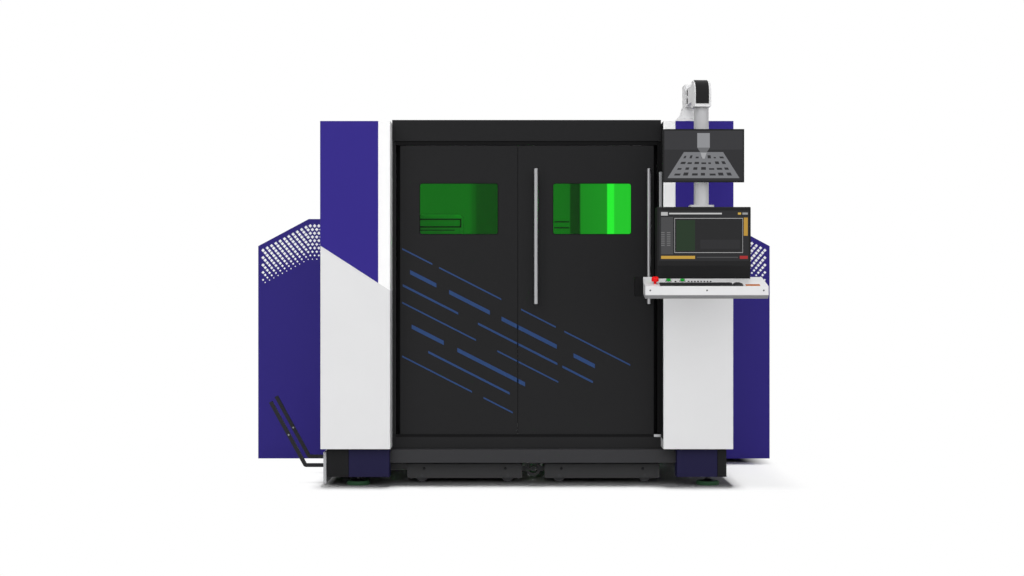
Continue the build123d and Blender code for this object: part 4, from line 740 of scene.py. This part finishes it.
class MACHINE_OT_door_films(bpy.types.Operator):
    """Plain dashed stripes of film that fall to the right across both door leaves"""

    bl_idname = "machine.door_films"
    bl_label = "Door stripes"

    def execute(self, context):
        s = sizes()
        ink = coat("blue_vinyl_film", colours().stripe, 0.4, 0.15, peel=0.02)
        draw = np.random.default_rng(23)
        fall = np.tan(s.stripe_fall)
        leaves = {name: box(f"{name}_leaf") for name in ("left", "right")}
        start, top = leaves["left"][0][0] + 12 * MM, box("left_window")[0][2] - 70 * MM
        stop = leaves["right"][1][0]
        dashes = []
        for lane in range(7):
            x = start + draw.uniform(0.0, 0.12) * (lane % 3)
            end = start + draw.uniform(0.75, 1.0) * (stop - start) * (1 - 0.085 * lane)
            width = (10, 26, 14)[lane % 3] * MM
            while x < end - 0.1:
                run = draw.uniform(0.14, 0.52)
                dashes.append((x, min(x + run, end), top - lane * s.stripe_pitch, width))
                x += run + draw.uniform(0.03, 0.14)
        front = box("sill")[0][1] - s.film
        for name, (low, high) in leaves.items():
            corners = []
            for left, right, z, width in dashes:
                left, right = max(left, low[0] + 4 * MM), min(right, high[0] - 4 * MM)
                if right - left > 15 * MM:
                    u, v = (z - (x - start) * fall for x in (left, right))
                    foot = [(left, front, u - width), (right, front, v - width)]
                    corners.append([*foot, (right, front, v), (left, front, u)])
            points, faces = slabs(np.array(corners), (0, s.film, 0))
            piece(f"{name}_door_stripes", points, faces, ink, f"{name}_door")
        return {"FINISHED"}


class MACHINE_OT_cabinet_films(bpy.types.Operator):
    """Staggered film diamonds that shrink downwards, below the cabinets' sloping tops"""

    bl_idname = "machine.cabinet_films"
    bl_label = "Cabinet spots"

    def execute(self, context):
        s = sizes()
        ink = coat("white_vinyl_film", colours().spot, 0.35, peel=0.02)
        rows = 10
        for name, side in (("left", -1), ("right", 1)):
            low, high = box(f"cabinet_{name}")
            width, depth_front, top = high[0] - low[0], low[1], high[2]
            outer = low[0] if side < 0 else high[0]
            columns = int((width - 40 * MM) / s.spot_pitch)
            i, j = np.meshgrid(np.arange(columns), np.arange(rows), indexing="ij")
            inwards = 34 * MM + (i + 0.5 * (j % 2)) * s.spot_pitch
            below = np.clip(1 - inwards / EAVE_RUN, 0, 1) * EAVE_FALL
            x = outer - side * inwards
            z = top - below - 48 * MM - j * s.spot_pitch * 0.86
            half = s.spot * (1 - 0.6 * (j / (rows - 1)) ** 4)
            turned = np.array([(-1, 0), (0, -1), (1, 0), (0, 1)])
            x, z, half = (values.ravel()[:, None] for values in (x, z, half))
            front = np.full((len(x), 4), depth_front - s.film)
            corners = np.stack([x + turned[:, 0] * half, front, z + turned[:, 1] * half], -1)
            points, faces = slabs(corners, (0, s.film, 0))
            piece(f"{name}_cabinet_spots", points, faces, ink, "machine")
        return {"FINISHED"}


class MACHINE_OT_windows(bpy.types.Operator):
    """Rubber seals of the door, a black sheet of painted shade on the right column, and the work lights
    inside the cabin, the rear one with painted light on its face
    """

    bl_idname = "machine.windows"
    bl_label = "Windows and work lights"

    def execute(self, context):
        s = sizes()
        rubber = moulded("black_rubber", linear("#121213"), 0.6, 0.1)
        front = box("sill")[0][1]
        w = s.seal
        t = np.linspace(0, np.pi, 7)
        section = np.stack([np.cos(t) * w / 2, np.sin(t) * w * 0.35], -1)
        for name in ("left", "right"):
            low, high = box(f"{name}_window")
            centre = ((low[0] + high[0]) / 2, front, (low[2] + high[2]) / 2)
            width, height = high[0] - low[0] - 36 * MM, high[2] - low[2] - 36 * MM
            points, faces = bead(width + w, height + w, 14 * MM + w / 2, section, centre)
            piece(f"{name}_window_seal", points, faces, rubber, f"{name}_door", smooth=True)

        left_edge, right_edge = box("left_leaf")[1][0], box("right_leaf")[0][0]
        foot, head = box("sill")[1][2], box("top_track")[0][2]
        fold, half_gap = (left_edge + right_edge) / 2, 1.9 * MM
        gap = [(fold - half_gap, foot + 20 * MM, fold + half_gap, head - 5 * MM)]
        plates(
            "fold_seal", gap, (0, front + 3 * MM, 0), FRONT, (0, 6 * MM, 0), rubber, "left_door"
        )

        low, high = box("door_jambs")
        flap = 75 * MM
        boxes = [(low[0], low[2], low[0] + flap, high[2]), (high[0] - flap, low[2], high[0], high[2])]
        plates("jamb_flaps", boxes, (0, high[1], 0), FRONT, (0, 3 * MM, 0), rubber, "machine")

        # Painted shade: a thin black rubber sheet on the right column's inner face draws the shade there
        column_low, column_high = box("column_right")
        strip = [(column_low[1] + 7 * MM, low[2], low[1], column_high[2] - 6 * MM)]
        plates(
            "column_shade_sheet", strip, (column_low[0] - 1 * MM, 0, 0), ((0, 1, 0), (0, 0, 1)), (0.9 * MM, 0, 0),
            rubber, "machine",
        )

        alloy = brushed("satin_alloy", linear("#B4B5B7"), 0.45, (1, 1, 0.04), 1.5)
        centre, post_ends = (column_low[0] - 11.5 * MM, column_low[1] + 52 * MM), (1.36, 1.935)
        points, faces = post(20 * MM, 34 * MM, 5 * MM, post_ends, centre)
        piece("light_curtain_post", points, faces, alloy, "machine")

        stop = brushed("milled_alloy", linear("#C4C5C7"), 0.4, (0.05, 1, 1), 2)
        sill_end, leaf_end = box("sill")[1], box("right_leaf")[1][0]
        bar = [(leaf_end + 2 * MM, sill_end[2] + 1 * MM, sill_end[0] - 1 * MM, sill_end[2] + 17 * MM)]
        plates(
            "track_stop", bar, (0, front + 0.5 * MM, 0), FRONT, (0, 4 * MM, 0),
            stop, "machine",
        )

        # The rear panel lights the cabin and carries painted light on its face: its brightness at places
        # along X, bright behind the right pane and dim behind the left, with narrow bright bands, stands in
        # for the lit inside seen through the panes
        lamp = printed_light("opal_work_light")
        back = box("rear_panel")[0][1]
        marks = (
            -0.86, -0.36, -0.30, -0.10, 0.26, 0.463, 0.466, 0.545, 0.552, 0.768, 0.771, 0.826, 0.829, 1.04
        )
        painted_glow = (0.135, 0.135, 0.055, 0.05, 0.15, 0.14, 0.035, 0.03, 0.25, 0.29, 0.93, 0.95, 0.62, 0.58)
        lamp_low, lamp_high = 1.60, 2.14
        steps = np.union1d(np.linspace(marks[0], marks[-1], 60), marks)
        level = np.interp((steps[1:] + steps[:-1]) / 2, marks, painted_glow)
        boxes = [(start, lamp_low, end, lamp_high) for start, end in zip(steps[:-1], steps[1:])]
        ink = np.repeat([(value, value, value, 1) for value in level], 6, axis=0)
        rear = plates(
            "rear_light_painted_glow", boxes, (0, back - s.lamp, 0), FRONT, (0, s.lamp, 0),
            lamp, "machine", ink=ink,
        )
        link_floor(rear)

        tube = printed_light("opal_strip_light", 12.0)
        roof = box("roof_panel")[0][2]
        strip = [(-0.66, -0.82, 0.80, -0.75)]
        overhead = plates(
            "roof_work_light", strip, (0, 0, roof - s.lamp), ((1, 0, 0), (0, 1, 0)), (0, 0, s.lamp),
            tube, "machine", ink=np.ones((6, 4)),
        )
        link_floor(overhead)

        low, high = box("cross_carriage")
        left, right, top = low[0] + 12 * MM, high[0] - 14 * MM, high[2] - 30 * MM
        line, foot = 9 * MM, high[2] - 82 * MM
        boxes = [
            (left, top - line, right, top),
            (right - line, foot, right, top - line),
            (left, foot - line, right, foot),
            (left, high[2] - 112 * MM, high[0] - 60 * MM, high[2] - 106 * MM),
        ]
        plates(
            "carriage_seams", boxes, (0, low[1] - 1 * MM, 0), FRONT, (0, 0.9 * MM, 0),
            rubber, "carriage",
        )

        boxes = [(0.335, z, 0.458, z + 11 * MM) for z in (1.708, 1.757)]
        plates(
            "cable_tray", boxes, (0, back - 2 * s.lamp, 0), FRONT, (0, s.lamp, 0),
            rubber, "machine",
        )
        return {"FINISHED"}


class MACHINE_OT_console(bpy.types.Operator):
    """Finishes the console arm, the cases, the tray and its controls"""

    bl_idname = "machine.console"
    bl_label = "Console"

    def execute(self, context):
        c, s = colours(), sizes()
        low, high = box("control_tray")
        middle = (low[0] + high[0]) / 2
        screw_z = low[2] + 47 * MM
        screws = [(middle + shift, low[1], screw_z) for shift in (-0.325, 0.0, 0.325)]
        paint_nodes(coat("arm_powder_coat", c.console, 0.34), "arm_base", "swing_arm")
        # Painted shade: the drop tube is drawn a darker grey than the arm for the shade of the monitor and
        # the console round it
        paint_nodes(coat("tube_coat_painted_shade", linear("#BDBDBF"), 0.34), "drop_tube")
        # Painted shade: the tray's underside and its lower bevel are drawn a darker grey for the shade on its
        # downward faces; its screws are darker still
        shaded_underside, heads = below(low[2] + 21 * MM), near_points(screws, s.screw)
        marks = [(shaded_underside, linear("#9A9A9C")), (heads, linear("#4A4A4C"))]
        paint_nodes(coat("tray_powder_coat", c.console, 0.34, patches=marks), "control_tray")
        paint_nodes(
            moulded("black_abs", c.case, 0.45, 0.15), "console_housing", "upper_monitor", "elbow_cover"
        )
        paint_nodes(moulded("keyboard_abs", linear("#262628"), 0.55, 0.2), "keyboard", "mouse")
        paint_nodes(moulded("red_polycarbonate", c.stop, 0.3, grain=0.03), "stop_button")
        paint_nodes(moulded("green_polycarbonate", c.start, 0.3, grain=0.03), "start_button", "pause_button")
        made, tree = new_material("black_screen_glass")
        shader = node(
            tree,
            "ShaderNodeBsdfPrincipled",
            {"Base Color": linear("#0D0D0F"), "Roughness": 0.15, "Specular IOR Level": 0.12},
        )
        close_material(tree, shader)
        paint_nodes(made, "display_glass")

        front_top = low[2] + 71 * MM
        along = np.array([0, np.cos(TRAY_SLOPE), np.sin(TRAY_SLOPE)])
        up = np.array([0, -np.sin(TRAY_SLOPE), np.cos(TRAY_SLOPE)])
        edge = np.array([middle, low[1], front_top])
        button_row = 121 * MM

        mark = moulded("amber_label_film", c.amber, 0.8, 0.02)
        field = [(0.226, 0.010, 0.308, 0.050)]
        plates(
            "tray_mark", field, edge + up * s.film, ((1, 0, 0), along), -up * s.film,
            mark, "console",
        )

        cap = moulded("black_button_cap", linear("#1C1C1E"), 0.45, 0.15)
        xs = [-0.168, *np.linspace(-0.092, 0.036, 8)]
        dome = np.array([[0, 5], [3, 4.6], [5, 3.2], [6, 1], [6, 0], [0, 0]]) * MM
        centres = np.array([edge + (x, 0, 0) + along * (button_row - 8 * MM) for x in xs])
        points, faces = lathe(dome, centres, up, (1, 0, 0), turns=16)
        piece("tray_lamps", points, faces, cap, "console", smooth=True)

        ring = brushed("chromed_ring", linear("#B8B8BA"), 0.25, (1, 1, 1), 2)
        collar = np.array([[15, 0], [15, 3.4], [16.5, 4.2], [18, 3.4], [18.6, 0]]) * MM
        centres = np.array([edge + (x, 0, 0) + along * button_row for x in (-0.208, -0.127)])
        points, faces = lathe(np.concatenate([collar, collar[:1]]), centres, up, (1, 0, 0), turns=32)
        piece("button_rings", points, faces, ring, "console", smooth=True)

        pendant = moulded("black_pendant_abs", linear("#0F0F10"), 0.55, 0.1)
        beside, heights = (low[0] - 25.7 * MM, low[1] + 0.15), (1.168, 1.288)
        points, faces = post(51 * MM, 40 * MM, 8 * MM, heights, beside, 5 * MM)
        piece("hand_pendant", points, faces, pendant, "console")

        across = np.array([np.cos(ARM_TURN), np.sin(ARM_TURN), 0])
        ahead = np.array([np.sin(ARM_TURN), -np.cos(ARM_TURN), 0])
        # Painted shade: thin black sheets set in the arm's slots draw the shade inside them
        tube_side, recess = 33 * MM, 3.6 * MM
        slot_start, slot_end, slot_half, slot_step = 0.093, 0.151, 17 * MM, 25 * MM
        heights = [2.3865 + shift for shift in (-slot_step, slot_step)]
        boxes = [(slot_start, z - slot_half, slot_end, z + slot_half) for z in heights]
        slot_shade_sheets = [
            rectangles(boxes, SWIVEL + across * side * (tube_side - recess), ahead, (0, 0, 1))
            for side in (-1, 1)
        ]
        points, faces = slabs(np.concatenate(slot_shade_sheets), across * 0.3 * MM)
        piece("arm_slot_shade_sheets", points, faces, pendant, "arm")
        return {"FINISHED"}


class MACHINE_OT_screens(bpy.types.Operator):
    """Generic pictures on the two screens: plain panels, bars and rows of dashes"""

    bl_idname = "machine.screens"
    bl_label = "Screen pictures"

    def execute(self, context):
        lit = printed_light("lit_screen")
        console = box("console_housing")
        size = np.array([0.524, 0.295])
        places = [(0.02 + 0.065 * (k % 2), 0.30 + 0.042 * (k // 2)) for k in range(14)]
        rows = [((u, v, u + 0.04, v + 0.018), "#6E6E6E") for u, v in places]
        fields = [
            ((0.0, 0.0, 1.0, 1.0), "#262627"),
            ((0.02, 0.13, 0.155, 0.87), "#464647"),
            *rows,
            ((0.02, 0.90, 0.095, 0.97), "#B4B4B4"),
            ((0.11, 0.925, 0.70, 0.955), "#BFBFBF"),
            ((0.88, 0.92, 0.915, 0.96), "#CBA648"),
            ((0.93, 0.92, 0.99, 0.96), "#979797"),
            ((0.17, 0.16, 0.935, 0.85), "#B0B0B0"),
            ((0.174, 0.17, 0.931, 0.84), "#212121"),
            ((0.19, 0.20, 0.40, 0.81), "#20331F"),
            ((0.46, 0.24, 0.90, 0.42), "#29292A"),
            ((0.945, 0.50, 0.99, 0.86), "#B58D38"),
            ((0.02, 0.04, 0.40, 0.10), "#BF973E"),
            ((0.90, 0.04, 0.99, 0.10), "#A32C2C"),
            ((0.42, 0.06, 0.88, 0.08), "#4C4C4D"),
        ]
        centre = (console[0][0] + console[1][0]) / 2, console[0][1], console[1][2] - 22 * MM - size[1] / 2
        corners = rectangles([field for field, _ in fields], (0, 0), (1, 0), (0, 1))
        self.picture("console_picture", corners, [ink for _, ink in fields], centre, size, lit)

        monitor = box("upper_monitor")
        size = (monitor[1] - monitor[0])[[0, 2]] - 18 * MM
        draw = np.random.default_rng(4)
        u = 0.07 + 0.13 * np.arange(7)[:, None] + np.zeros(4)
        v = 0.10 + 0.22 * np.arange(4) + np.zeros((7, 1))
        wide, tall = draw.uniform(0.04, 0.09, u.shape), draw.uniform(0.05, 0.12, v.shape)
        holes = np.stack([u, v, u + wide, v + tall], -1)
        holes = rectangles(holes.reshape(-1, 4), (0, 0), (1, 0), (0, 1))
        sheet = rectangles([(0, 0, 1, 1)], (0, 0), (1, 0), (0, 1))
        across, depth = np.moveaxis(np.concatenate([sheet, holes]), -1, 0)
        # a sheet seen in perspective: its width shrinks evenly with its depth
        laid = np.stack([0.5 + (across - 0.5) * (0.92 - 0.42 * depth), 0.05 + 0.52 * depth], -1)
        walls = rectangles([(0, 0, 1, 1), (0, 0.62, 1, 1)], (0, 0), (1, 0), (0, 1))
        head = np.array([
            [(0.42, 0.66), (0.58, 0.66), (0.58, 0.95), (0.42, 0.95)],
            [(0.46, 0.56), (0.54, 0.56), (0.58, 0.66), (0.42, 0.66)],
            [(0.485, 0.44), (0.515, 0.44), (0.54, 0.56), (0.46, 0.56)],
        ])
        corners = np.concatenate([walls, laid, head])
        inks = ["#2A2A2B", "#343436", "#77787B", *["#2C2C2D"] * len(holes), "#8D8E91", "#6A6B6D", "#A3A4A6"]
        centre = (monitor[0][0] + monitor[1][0]) / 2, monitor[0][1], (monitor[0][2] + monitor[1][2]) / 2
        self.picture("monitor_picture", corners, inks, centre, size, lit)
        return {"FINISHED"}

    @staticmethod
    def picture(name, corners, inks, centre, size, material):
        """Flat lit fields, given as shares of the screen, each a little in front of the one before."""
        film = sizes().film
        flat = (np.asarray(corners)[..., :2] - 0.5) * size
        y = np.broadcast_to(-np.linspace(0.3, 1.0, len(flat))[:, None] * film, flat.shape[:2])
        places = np.stack([flat[..., 0], y, flat[..., 1]], -1) + np.array(centre)
        points, faces = slabs(places, (0, film / 100, 0))
        ink = np.repeat(np.array([linear(colour) for colour in inks]), 6, axis=0)
        piece(name, points, faces, material, "console", ink=ink)


OPERATORS = (
    MACHINE_OT_stage,
    MACHINE_OT_structure,
    MACHINE_OT_carts,
    MACHINE_OT_door_films,
    MACHINE_OT_cabinet_films,
    MACHINE_OT_windows,
    MACHINE_OT_console,
    MACHINE_OT_screens,
)
GROUPS = (
    ("machine_colours", MachineColours),
    ("machine_sizes", MachineSizes),
    ("machine_stage", MachineStage),
)


class MACHINE_PT_panel(bpy.types.Panel):
    """Lists the machine's operators and values"""

    bl_idname = "MACHINE_PT_panel"
    bl_label = "Laser Cutting Machine"
    bl_space_type = "VIEW_3D"
    bl_region_type = "UI"
    bl_category = "Machine"

    def draw(self, context):
        for operator in OPERATORS:
            self.layout.operator(operator.bl_idname)
        for name, group in GROUPS:
            values = getattr(context.scene, name)
            for key in group.__annotations__:
                self.layout.prop(values, key)


def register():
    for _, group in GROUPS:
        bpy.utils.register_class(group)
    for name, group in GROUPS:
        setattr(bpy.types.Scene, name, bpy.props.PointerProperty(type=group))
    for made in (*OPERATORS, MACHINE_PT_panel):
        bpy.utils.register_class(made)


def unregister():
    for made in (MACHINE_PT_panel, *reversed(OPERATORS)):
        bpy.utils.unregister_class(made)
    for name, group in reversed(GROUPS):
        delattr(bpy.types.Scene, name)
        bpy.utils.unregister_class(group)


def main():
    register()
    for operator in OPERATORS:
        group, call = operator.bl_idname.split(".")
        getattr(getattr(bpy.ops, group), call)()


if __name__ == "__main__":
    main()
